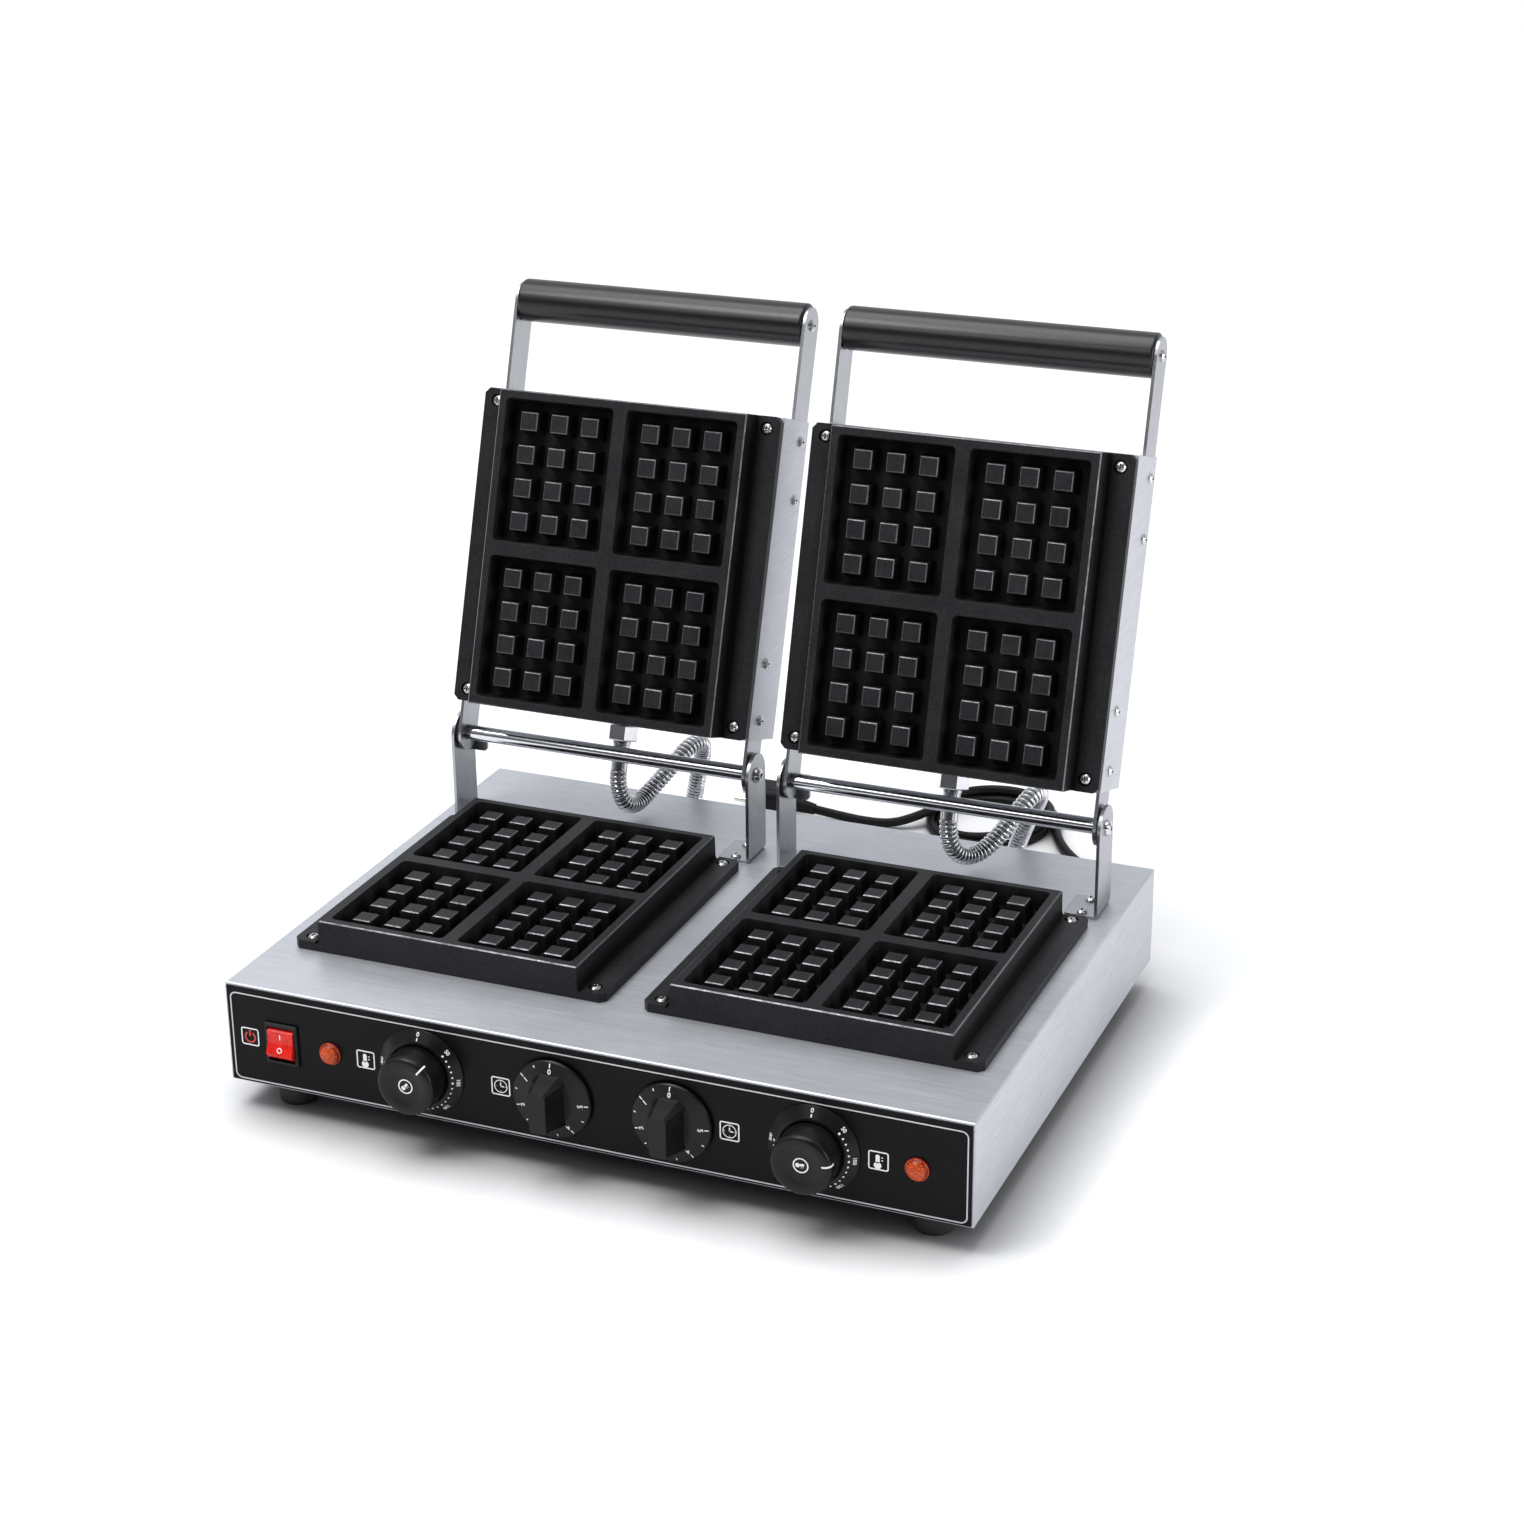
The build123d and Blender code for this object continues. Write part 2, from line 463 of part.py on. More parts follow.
U0 = HINGE_Y - (PLATE_Y + PLATE_L / 2)
U1 = HINGE_Y - (PLATE_Y - PLATE_L / 2)
V1 = HEAD_V
V0 = HEAD_V - HOUSING_T
SIDE_X = PLATE_W / 2
ARM_OUT = SIDE_X - HOUSING_SHEET
HINGE_SCREWS_U = (41.5, 85.5)
HANDLE_SCREWS_U = (211.0, 255.5)
NUT_V = -21.0
FERRULE_END = U0 - 41.0
print("head box v", round(V0, 2), round(V1, 2), "u", U0, U1)


def head_housing(nut_x):
    s = box(-SIDE_X, SIDE_X, U0, U1, V0, V1)
    s = fillet(s.edges().group_by(Axis.Z)[0], 1.8)
    k = HOUSING_SHEET
    s -= box(-SIDE_X + k, SIDE_X - k, U0 + k, U1 - k, V0 + k, V1 - k)
    uc = (U0 + U1) / 2
    s -= box(-90, 90, uc - 102.5, uc + 102.5, V1 - 5, V1 + 5)
    for ix in (-1, 1):
        for iy in (-1, 1):
            s -= cyl("z", (ix * SCREW_IN, uc + iy * SCREW_IN), 2.2, V1 - 5, V1 + 5)
        a, b = ix * (ARM_OUT - ARM_T - 0.3), ix * ARM_OUT
        s -= box(min(a, b), max(a, b), U0 - 1, U0 + 3, -ARM_W / 2 - 0.3, ARM_W / 2 + 0.3)
        s -= box(min(a, b), max(a, b), U1 - 3, U1 + 1, V0 + k, GRIP_V + ARM_W / 2 + 0.3)
        for u in HINGE_SCREWS_U:
            s -= cyl("x", (u, 0), 2.2, ix * (SIDE_X - 4), ix * (SIDE_X + 2))
        for u in HANDLE_SCREWS_U:
            s -= cyl("x", (u, GRIP_V), 2.2, ix * (SIDE_X - 4), ix * (SIDE_X + 2))
    s -= cyl("y", (nut_x, NUT_V), 8.1, U0 - 1, U0 + 3)
    return s


def hinge_arm(ix):
    x0, x1 = ARM_OUT - ARM_T, ARM_OUT
    s = box(x0, x1, 0, HINGE_ARM_LEN, -ARM_W / 2, ARM_W / 2) + cyl("x", (0, 0), ARM_W / 2, x0, x1)
    s -= cyl("x", (0, 0), NECK_D / 2 + NECK_CLEAR, x0 - 1, x1 + 1)
    for u in HINGE_SCREWS_U:
        s -= cyl("x", (u, 0), 2.05, x0 - 1, x1 + 1)
    return s if ix > 0 else mirror(s, about=Plane.YZ)


def handle_arm(ix):
    x0, x1 = ARM_OUT - ARM_T, ARM_OUT
    s = box(x0, x1, HANDLE_ARM_START, GRIP_U, GRIP_V - ARM_W / 2, GRIP_V + ARM_W / 2) + cyl("x", (GRIP_U, GRIP_V), ARM_W / 2, x0, x1)
    for u in HANDLE_SCREWS_U + (GRIP_U,):
        s -= cyl("x", (u, GRIP_V), 2.2, x0 - 1, x1 + 1)
    return s if ix > 0 else mirror(s, about=Plane.YZ)


def grip():
    h = ARM_OUT - ARM_T
    s = cyl("x", (GRIP_U, GRIP_V), GRIP_D / 2, -h, h)
    s = fillet(s.edges().filter_by(GeomType.CIRCLE), 2.2)
    for ix in (-1, 1):
        s -= cyl("x", (GRIP_U, GRIP_V), 2.1, ix * (h + 1), ix * (h - 24))
    return s


def fitting(nut_x):
    """Hose connector: threaded collar and hex nut under the head, and the plain ferrule below it."""
    nut = hexprism("y", (nut_x, NUT_V), 22.0, U0 - 17.0, U0 - 5.5)
    nut = chamfer(nut.edges().filter_by(GeomType.LINE).filter_by(lambda e: abs(e.center().Y - (U0 - 17.0)) < 0.01), 0.8)
    nut += cyl("y", (nut_x, NUT_V), 9.6, U0 - 6, U0)
    nut += cyl("y", (nut_x, NUT_V), 8.0, U0 - 1, U0 + 9)
    nut -= cyl("y", (nut_x, NUT_V), 5.0, U0 - 20, U0 + 10)
    lock = hexprism("y", (nut_x, NUT_V), 22.0, U0 + HOUSING_SHEET, U0 + HOUSING_SHEET + 4) - cyl("y", (nut_x, NUT_V), 8.0, U0, U0 + 9)
    fer = cyl("y", (nut_x, NUT_V), HOSE_D / 2 - 0.2, FERRULE_END, U0 - 17.0)
    fer += cyl("y", (nut_x, NUT_V), HOSE_D / 2 + 0.5, U0 - 20.0, U0 - 17.0)
    fer -= cyl("y", (nut_x, NUT_V), 5.0, FERRULE_END - 1, U0 - 16)
    return nut, lock, fer


for side, sx, lean, nut_x in (("left", -1, LEAN_L, 3.0), ("right", 1, LEAN_R, 0.0)):
    P = head_plane(sx, lean).location
    uc = (U0 + U1) / 2
    put(side + "_upper_plate", P * Location((0, uc, V1)) * PLATE)
    put(side + "_upper_element", P * Location((0, uc, V1)) * ELEMENT)
    tray = box(-97, 97, -110, 110, -16, -HOUSING_SHEET) - box(-96, 96, -109, 109, -15.2, 1)
    for k in (-1, 1):
        tray -= cyl("z", (k * 12, -56), 4.6, -20, -10)
    put(side + "_upper_heat_shield", P * Location((0, uc, V1)) * tray)
    put(side + "_head_housing", P * head_housing(nut_x))
    put(side + "_hinge_arms", P * hinge_arm(-1), P * hinge_arm(1))
    put(side + "_handle_arms", P * handle_arm(-1), P * handle_arm(1))
    put(side + "_handle_grip", P * grip())
    for part_ in fitting(nut_x):
        put(side + "_hose_fitting", P * part_)
    screws = side + "_head_screws"
    for ix in (-1, 1):
        for iy in (-1, 1):
            put(screws, P * Location((ix * SCREW_IN, uc + iy * SCREW_IN, V1 + FLANGE_T - 1.6)) * pan_screw(length=13))
        for u, v in [(u, 0) for u in HINGE_SCREWS_U] + [(u, GRIP_V) for u in HANDLE_SCREWS_U]:
            put(screws, P * Location((ix * SIDE_X, u, v), (0, ix * 90, 0)) * pan_screw(length=9))
        put(screws, P * Location((ix * ARM_OUT, GRIP_U, GRIP_V), (0, ix * 90, 0)) * pan_screw(head=8.6, length=20))

# ---------------------------------------------------------------- hoses
def head_point(sx, lean, x, u, v):
    return (sx * HEAD_X + x, HINGE_Y + u * math.sin(lean) - v * math.cos(lean), HINGE_Z + u * math.cos(lean) + v * math.sin(lean))


def hose_start(sx, lean, nut_x):
    a = head_point(sx, lean, nut_x, FERRULE_END, NUT_V)
    b = head_point(sx, lean, nut_x, FERRULE_END - 12.0, NUT_V)
    return [a, b]


LEFT_HOSE = hose_start(-1, LEAN_L, 3.0) + [
    (-132, 141.6, 18.5), (-129, 156.2, 12.0), (-126, 171.9, 16.1), (-110, 191.2, 38.0), (-104, 205.9, 47.6), (-100, 219.9, 46.6),
    (-101.5, 230.2, 36.5), (-109, 236.0, 14.8), (-118, 246, -16), (-120.5, 241.9, -29.4), (-121, 230.6, -37.6), (-121, 220.6, -37.6)]
RIGHT_HOSE = hose_start(1, LEAN_R, 0.0) + [
    (143.5, 142.5, 20.0), (151, 155.5, 12.5), (162, 170.5, 17), (178, 190, 42), (184.5, 203.5, 51), (186.5, 217.5, 47.5),
    (182, 228.0, 35.5), (171, 235.0, 14), (159, 246, -16), (156.5, 241.9, -29.4), (156, 230.6, -37.6), (156, 220.6, -37.6)]
put("left_hose", tube("left_hose", LEFT_HOSE, HOSE_D))
put("right_hose", tube("right_hose", RIGHT_HOSE, HOSE_D))
for x, z in HOSE_GLANDS:
    g = hexprism("y", (x, z), 20.0, REAR, REAR + 6.0)
    g += cyl("y", (x, z), 8.4, REAR + 5.5, REAR + 7.6)
    g += cyl("y", (x, z), 8.0, REAR - 9, REAR + 1)
    g -= cyl("y", (x, z), 5.0, REAR - 10, REAR + 8)
    put("hose_glands", g)
    put("hose_glands", hexprism("y", (x, z), 20.0, REAR - SHEET - 4, REAR - SHEET) - cyl("y", (x, z), 8.0, REAR - 10, REAR))

# ---------------------------------------------------------------- mains lead
gx, gz = CORD_GLAND
g = cyl("y", (gx, gz), 10.5, REAR, REAR + 3) + cyl("y", (gx, gz), 6.5, REAR - 8, REAR + 1)
sleeve = Plane(origin=(gx, REAR + 2.5, gz), x_dir=(1, 0, 0), z_dir=(0, 1, 0)).location * Cone(7.6, 5.3, 34.5, align=(Align.CENTER, Align.CENTER, Align.MIN))
g += sleeve
g -= cyl("y", (gx, gz), CORD_D / 2, REAR - 9, REAR + 33)
put("cord_gland", g)
CORD_START_Y = REAR + 37.0
CZ = FLOOR + CORD_D / 2 + 0.1
LEAD = [(gx, CORD_START_Y, gz), (gx, CORD_START_Y + 40, gz), (212, 341, CZ), (186, 386, CZ), (149, 421, CZ), (119, 463, CZ)]
put("cord_lead", tube("cord_lead", LEAD, CORD_D))
COIL_C = (70.0, 464.0)
COIL_IN, COIL_OUT, COIL_H = 41.0, 59.5, 16.0
coil = cyl("z", COIL_C, COIL_OUT, FLOOR, FLOOR + COIL_H) - cyl("z", COIL_C, COIL_IN, FLOOR - 1, FLOOR + COIL_H + 1)
coil = fillet(coil.edges().filter_by(GeomType.CIRCLE), 3.0)
put("cord_coil", coil)
PLUG_Z = FLOOR + 14.0
TAIL = [(24, 486, CZ), (23, 455, CZ), (2, 428, CZ), (-31, 423, CZ), (-58, 425, CZ), (-80, 420.5, PLUG_Z - 5.0)]
put("cord_tail", tube("cord_tail", TAIL, CORD_D))
# round-cornered two-pin plug lying on its flat side, pins towards -X
pb = box(-132, -104, 400, 434, FLOOR, FLOOR + 28)
pb = fillet(pb.edges().filter_by(Axis.X), 9.0)
pb = fillet(pb.edges().filter_by(lambda e: e.center().X > -104.1), 4.0)
d = Vector(-80 + 106, 420.5 - 417, -5.0)
relief = Plane(origin=(-106, 417, PLUG_Z), z_dir=d).location * Cone(7.4, 4.8, d.length, align=(Align.CENTER, Align.CENTER, Align.MIN))
put("plug_body", pb + relief)
for y in (407.5, 426.5):
    pin = cyl("x", (y, PLUG_Z), 2.4, -151, -132)
    pin = chamfer(pin.edges().filter_by(GeomType.CIRCLE).filter_by(lambda e: e.center().X < -150), 0.8)
    put("plug_pins", pin)

# ---------------------------------------------------------------- export
total = 0
lo, hi = [1e9] * 3, [-1e9] * 3
for name, solids in nodes.items():
    moved = [TO_ROW * s for s in solids]
    for s in moved:
        b = s.bounding_box()
        if not name.startswith(("cord_coil", "cord_lead", "cord_tail", "plug")):
            lo = [min(p, q) for p, q in zip(lo, (b.min.X, b.min.Y, b.min.Z))]
            hi = [max(p, q) for p, q in zip(hi, (b.max.X, b.max.Y, b.max.Z))]
    shape = moved[0] if len(moved) == 1 else Compound(children=moved)
    shape.label = name
    export_step(shape, "parts/" + name + ".step")
    total += len(moved)
print("nodes", len(nodes), "solids", total, "y shift", round(Y_SHIFT, 3))
print("box", [round(v, 2) for v in lo], [round(v, 2) for v in hi])
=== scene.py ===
import json
import math

import bmesh
import bpy
import numpy as np
from mathutils import Matrix, Vector


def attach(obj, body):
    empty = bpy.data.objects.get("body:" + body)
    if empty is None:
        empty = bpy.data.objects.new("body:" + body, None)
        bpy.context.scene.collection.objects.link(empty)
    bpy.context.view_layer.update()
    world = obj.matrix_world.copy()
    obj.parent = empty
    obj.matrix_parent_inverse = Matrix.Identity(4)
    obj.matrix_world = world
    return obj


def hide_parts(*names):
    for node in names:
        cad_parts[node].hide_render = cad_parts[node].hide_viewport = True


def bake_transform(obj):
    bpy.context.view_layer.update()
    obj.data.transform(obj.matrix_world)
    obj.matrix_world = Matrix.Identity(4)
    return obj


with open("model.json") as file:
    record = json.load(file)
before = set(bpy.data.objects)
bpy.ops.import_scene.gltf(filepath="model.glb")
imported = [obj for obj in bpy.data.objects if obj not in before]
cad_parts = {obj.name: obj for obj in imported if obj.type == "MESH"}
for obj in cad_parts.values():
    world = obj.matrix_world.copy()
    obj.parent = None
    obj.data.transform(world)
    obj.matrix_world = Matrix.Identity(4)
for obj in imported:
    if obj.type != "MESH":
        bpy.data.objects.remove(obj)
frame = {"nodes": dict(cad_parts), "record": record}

for stray in ("Cube", "Light", "Camera"):
    if stray in bpy.data.objects:
        bpy.data.objects.remove(bpy.data.objects[stray])
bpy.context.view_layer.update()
nodes = frame["nodes"]
scene = bpy.context.scene
col = scene.collection

# The drawing's own frame is in millimetres about the centre of the base's top
# face; the row frame is in metres with the feet on z = 0.
Y_SHIFT, UP = -14.935, 99.0
PANEL_Y = -214.0
CTRL_Z = -40.5


def P(x, y, z):
    return Vector((x, y + Y_SHIFT, z + UP)) / 1000.0


def panel_frame(x, z=CTRL_Z, lift=0.0):
    """Local x is row +X, local y is row +Z and local z stands out of the panel, in millimetres."""
    m = Matrix(((1, 0, 0), (0, 0, -1), (0, 1, 0))).to_4x4()
    return Matrix.Translation(P(x, PANEL_Y - lift, z)) @ m @ Matrix.Scale(0.001, 4)


# ------------------------------------------------------------------ materials
class Mat:
    """A small helper around one material's node tree."""

    def __init__(self, name, color, metallic, roughness, **sockets):
        self.mat = bpy.data.materials.new(name)
        self.mat.use_nodes = True
        self.nt = self.mat.node_tree
        self.bsdf = next(n for n in self.nt.nodes if n.type == "BSDF_PRINCIPLED")
        self.coord = self.nt.nodes.new("ShaderNodeTexCoord")
        self.bsdf.inputs["Base Color"].default_value = (*color, 1)
        self.bsdf.inputs["Metallic"].default_value = metallic
        self.bsdf.inputs["Roughness"].default_value = roughness
        for k, v in sockets.items():
            self.bsdf.inputs[k.replace("_", " ")].default_value = v
        self.mat.diffuse_color = (*color, 1)

    def add(self, kind, **props):
        n = self.nt.nodes.new(kind)
        for k, v in props.items():
            setattr(n, k, v)
        return n

    def link(self, a, b):
        self.nt.links.new(a, b)

    def put(self, socket, value):
        if hasattr(value, "is_output"):
            self.link(value, socket)
        else:
            socket.default_value = value

    def space(self, scale=(1, 1, 1), turn=(0, 0, 0), source=None):
        m = self.add("ShaderNodeMapping")
        self.link(source or self.coord.outputs["Object"], m.inputs["Vector"])
        m.inputs["Scale"].default_value = scale
        m.inputs["Rotation"].default_value = turn
        return m.outputs["Vector"]

    def noise(self, scale, detail=3.0, rough=0.55, distort=0.0, vec=None):
        n = self.add("ShaderNodeTexNoise")
        self.link(vec or self.coord.outputs["Object"], n.inputs["Vector"])
        n.inputs["Scale"].default_value = scale
        n.inputs["Detail"].default_value = detail
        n.inputs["Roughness"].default_value = rough
        n.inputs["Distortion"].default_value = distort
        return n.outputs["Fac"]

    def cells(self, scale, vec=None, feature="F1", out="Distance"):
        n = self.add("ShaderNodeTexVoronoi", feature=feature)
        self.link(vec or self.coord.outputs["Object"], n.inputs["Vector"])
        n.inputs["Scale"].default_value = scale
        return n.outputs[out]

    def calc(self, op, a, b=0.5, clamp=False):
        n = self.add("ShaderNodeMath", operation=op, use_clamp=clamp)
        self.put(n.inputs[0], a)
        self.put(n.inputs[1], b)
        return n.outputs[0]

    def remap(self, v, lo, hi, to_lo, to_hi):
        n = self.add("ShaderNodeMapRange")
        self.link(v, n.inputs["Value"])
        for k, x in (("From Min", lo), ("From Max", hi), ("To Min", to_lo), ("To Max", to_hi)):
            n.inputs[k].default_value = x
        return n.outputs["Result"]

    def mix(self, fac, a, b):
        n = self.add("ShaderNodeMix", data_type="RGBA")
        self.put(n.inputs["Factor"], fac)
        ins = [s for s in n.inputs if s.type == "RGBA"]
        for s, v in zip(ins, (a, b)):
            self.put(s, v if hasattr(v, "is_output") else (*v, 1))
        return next(s for s in n.outputs if s.type == "RGBA")

    def blend_value(self, fac, a, b):
        n = self.add("ShaderNodeMix", data_type="FLOAT")
        self.put(n.inputs[0], fac)
        self.put(n.inputs[2], a)
        self.put(n.inputs[3], b)
        return n.outputs[0]

    def soft_edge(self, radius, samples=4):
        n = self.add("ShaderNodeBevel", samples=samples)
        n.inputs["Radius"].default_value = radius
        return n.outputs["Normal"]

    def edge_mask(self, soft, gain=6.0):
        """Nearly 0 on flat ground and 1 along convex and concave corners."""
        g = self.add("ShaderNodeNewGeometry")
        d = self.add("ShaderNodeVectorMath", operation="DOT_PRODUCT")
        self.link(soft, d.inputs[0])
        self.link(g.outputs["Normal"], d.inputs[1])
        return self.calc("MULTIPLY", self.calc("SUBTRACT", 1.0, d.outputs["Value"]), gain, clamp=True)

    def facing(self, axis):
        """How much of the surface's normal lies along one axis of the row frame."""
        g = self.add("ShaderNodeNewGeometry")
        s = self.add("ShaderNodeSeparateXYZ")
        self.link(g.outputs["Normal"], s.inputs[0])
        return self.calc("ABSOLUTE", s.outputs[axis])

    def bump(self, height, strength, distance, normal=None):
        n = self.add("ShaderNodeBump")
        n.inputs["Strength"].default_value = strength
        n.inputs["Distance"].default_value = distance
        self.link(height, n.inputs["Height"])
        if normal is not None:
            self.link(normal, n.inputs["Normal"])
        return n.outputs["Normal"]

    def color(self, v):
        self.link(v, self.bsdf.inputs["Base Color"])

    def rough(self, v):
        self.link(v, self.bsdf.inputs["Roughness"])

    def normal(self, v):
        self.link(v, self.bsdf.inputs["Normal"])


def brushed(name, dark, light, rough_lo, rough_hi, along="x", grain=1500.0, edge=0.0005, strength=0.12, metallic=1.0):
    m = Mat(name, light, metallic, rough_lo)
    long = 9.0
    main = {"x": (long, grain, grain), "z": (grain, grain, long)}[along]
    streak = m.noise(1.0, 3.0, 0.6, vec=m.space(main))
    coarse = m.noise(1.0, 3.0, 0.65, vec=m.space(tuple(q if q > 100 else 48.0 for q in (v * 0.42 for v in main))))
    if along == "x":
        side = m.remap(m.facing("X"), 0.6, 0.75, 0.0, 1.0)
        streak = m.blend_value(side, streak, m.noise(1.0, 3.0, 0.6, vec=m.space((grain, long, grain))))
        coarse = m.blend_value(side, coarse, m.noise(1.0, 3.0, 0.65, vec=m.space((grain * 0.42, 48.0, grain * 0.42))))
    cloud = m.noise(7.0, 4.0, 0.6, 0.4)
    smear = m.noise(28.0, 5.0, 0.65, 0.8)
    tone = m.calc("ADD", m.calc("MULTIPLY", streak, 0.36), m.calc("ADD", m.calc("MULTIPLY", coarse, 0.42), m.calc("MULTIPLY", cloud, 0.22)))
    m.color(m.mix(m.remap(tone, 0.36, 0.64, 0.0, 1.0), dark, light))
    r = m.calc("ADD", m.calc("MULTIPLY", streak, 0.6), m.calc("MULTIPLY", smear, 0.4))
    m.rough(m.remap(r, 0.3, 0.7, rough_lo, rough_hi))
    m.normal(m.bump(streak, strength, 0.00012, m.soft_edge(edge)))
    return m.mat


def mottled(name, color, second, metallic, rough_lo, rough_hi, scale, depth, edge=0.0004, strength=0.2, fine=None, recess_shade=None, reach=0.0015, **sockets):
    """Moulded, cast or plated surface: two tones, uneven gloss, a fine grain and, if asked for, painted shade that
    darkens the recesses.
    """
    m = Mat(name, color, metallic, rough_lo, **sockets)
    big = m.noise(scale * 0.06, 4.0, 0.6, 0.5)
    grain = m.noise(scale, 3.0, 0.6)
    tint = m.mix(m.remap(m.calc("ADD", m.calc("MULTIPLY", big, 0.6), m.calc("MULTIPLY", grain, 0.4)), 0.35, 0.65, 0.0, 1.0), color, second)
    # painted shade: recesses are darkened towards the given colour where ambient occlusion is low
    if recess_shade is not None:
        hollow = m.add("ShaderNodeAmbientOcclusion", samples=5, only_local=True)
        hollow.inputs["Distance"].default_value = reach
        tint = m.mix(m.remap(hollow.outputs["AO"], 0.35, 0.85, 0.0, 1.0), recess_shade, tint)
    m.color(tint)
    m.rough(m.remap(big, 0.3, 0.7, rough_lo, rough_hi))
    height = grain if fine is None else m.calc("ADD", m.calc("MULTIPLY", grain, 0.5), m.calc("MULTIPLY", m.noise(fine, 2.0, 0.5), 0.5))
    m.normal(m.bump(height, strength, depth, m.soft_edge(edge)))
    return m.mat


def plate_material(name, axis):
    """Cast plate whose pegs stand along the given axis."""
    m = Mat(name, (0.02, 0.02, 0.022), 0.0, 0.45, Specular_IOR_Level=0.16)
    soft = m.soft_edge(0.0006, 6)
    grain = m.noise(1700.0, 3.0, 0.65)
    cast = m.noise(420.0, 4.0, 0.6, 0.3)
    cloud = m.noise(24.0, 4.0, 0.6, 0.6)
    worn = m.noise(160.0, 4.0, 0.7)
    tone = m.remap(m.calc("ADD", m.calc("MULTIPLY", cast, 0.55), m.calc("MULTIPLY", cloud, 0.45)), 0.33, 0.67, 0.0, 1.0)
    ground = m.mix(tone, (0.0100, 0.0100, 0.0114), (0.0230, 0.0230, 0.0255))
    speck = m.remap(m.noise(900.0, 2.0, 0.5), 0.60, 0.76, 0.0, 0.5)
    ground = m.mix(speck, ground, (0.065, 0.065, 0.069))
    # painted shade: the pockets between the pegs get a near-black colour where ambient occlusion is low, darker than
    # the open faces
    hollow = m.add("ShaderNodeAmbientOcclusion", samples=6, only_local=True)
    hollow.inputs["Distance"].default_value = 0.013
    open_ = m.remap(hollow.outputs["AO"], 0.66, 0.94, 0.0, 1.0)
    # the slanting edges get a lighter, more metallic colour: partly bare metal where the coating is worn thin, partly a
    # painted highlight along the edges
    lean = m.add("ShaderNodeVectorMath", operation="DOT_PRODUCT")
    m.link(m.coord.outputs["Normal"], lean.inputs[0])
    lean.inputs[1].default_value = axis
    tilt_ = m.calc("ABSOLUTE", lean.outputs["Value"])
    slant = m.calc("MULTIPLY", m.remap(tilt_, 0.36, 0.52, 0.0, 1.0), m.remap(tilt_, 0.86, 0.95, 1.0, 0.0))
    wear = m.calc("MULTIPLY", m.calc("MULTIPLY", slant, m.remap(hollow.outputs["AO"], 0.55, 0.75, 0.0, 1.0)), m.remap(worn, 0.3, 0.6, 0.45, 1.0))
    pocket_shade = m.mix(tone, (0.0018, 0.0018, 0.0021), (0.0038, 0.0038, 0.0043))
    m.color(m.mix(wear, m.mix(open_, pocket_shade, ground), (0.17, 0.17, 0.18)))
    m.link(m.calc("MULTIPLY", wear, 0.6), m.bsdf.inputs["Metallic"])
    gloss = m.remap(m.calc("ADD", m.calc("MULTIPLY", cloud, 0.5), m.calc("MULTIPLY", cast, 0.5)), 0.3, 0.7, 0.36, 0.54)
    m.rough(m.blend_value(wear, m.blend_value(open_, 0.62, gloss), 0.25))
    h = m.calc("ADD", m.calc("MULTIPLY", grain, 0.45), m.calc("MULTIPLY", cast, 0.55))
    m.normal(m.bump(h, 0.4, 0.00018, soft))
    return m.mat


def galvanised_material():
    m = Mat("galvanised_sheet", (0.45, 0.46, 0.47), 1.0, 0.45)
    flake = m.cells(95.0, out="Color")
    g = m.add("ShaderNodeSeparateColor")
    m.link(flake, g.inputs[0])
    m.color(m.mix(g.outputs[0], (0.36, 0.37, 0.385), (0.56, 0.57, 0.585)))
    m.rough(m.remap(g.outputs[1], 0.0, 1.0, 0.34, 0.58))
    m.normal(m.bump(m.noise(500.0, 3.0), 0.1, 0.0001, m.soft_edge(0.0003)))
    return m.mat


def lamp_material():
    m = Mat("lamp_lens", (0.60, 0.07, 0.015), 0.0, 0.26, Specular_IOR_Level=0.25, Coat_Weight=0.04, Coat_Roughness=0.1)
    grid = m.add("ShaderNodeTexBrick", offset=0.5)
    m.link(m.space((1, 1, 1), (math.radians(90), 0, 0)), grid.inputs["Vector"])
    grid.inputs["Scale"].default_value = 1.0
    grid.inputs["Brick Width"].default_value = 0.0020
    grid.inputs["Row Height"].default_value = 0.0015
    grid.inputs["Mortar Size"].default_value = 0.00030
    grid.inputs["Mortar Smooth"].default_value = 0.5
    grid.inputs["Color1"].default_value = (0.80, 0.105, 0.020, 1)
    grid.inputs["Color2"].default_value = (0.50, 0.048, 0.008, 1)
    grid.inputs["Mortar"].default_value = (0.20, 0.014, 0.003, 1)
    spots = m.remap(m.noise(700.0, 3.0, 0.6), 0.45, 0.72, 0.0, 0.6)
    glow = m.mix(spots, grid.outputs["Color"], (0.92, 0.20, 0.045))
    # painted shade: the lens turns dark red towards its rim, where it faces away from the front
    rim = m.remap(m.facing("Y"), 0.25, 0.80, 0.0, 1.0)
    m.color(m.mix(rim, (0.13, 0.010, 0.003), glow))
    m.normal(m.bump(grid.outputs["Fac"], 0.25, 0.00025, m.soft_edge(0.0004)))
    return m.mat


def rocker_material():
    m = Mat("rocker_red", (0.78, 0.02, 0.015), 0.0, 0.24, Specular_IOR_Level=0.28, Coat_Weight=0.06, Coat_Roughness=0.1, Subsurface_Weight=0.25, Subsurface_Scale=0.004)
    m.bsdf.inputs["Subsurface Radius"].default_value = (1.0, 0.12, 0.08)
    cloud = m.noise(160.0, 3.0, 0.55, 0.4)
    m.color(m.mix(m.remap(cloud, 0.35, 0.65, 0, 1), (0.62, 0.010, 0.008), (0.80, 0.022, 0.014)))
    m.rough(m.remap(m.noise(500.0), 0.3, 0.7, 0.22, 0.34))
    m.normal(m.bump(m.noise(1200.0, 2.0), 0.06, 0.0001, m.soft_edge(0.0006)))
    return m.mat


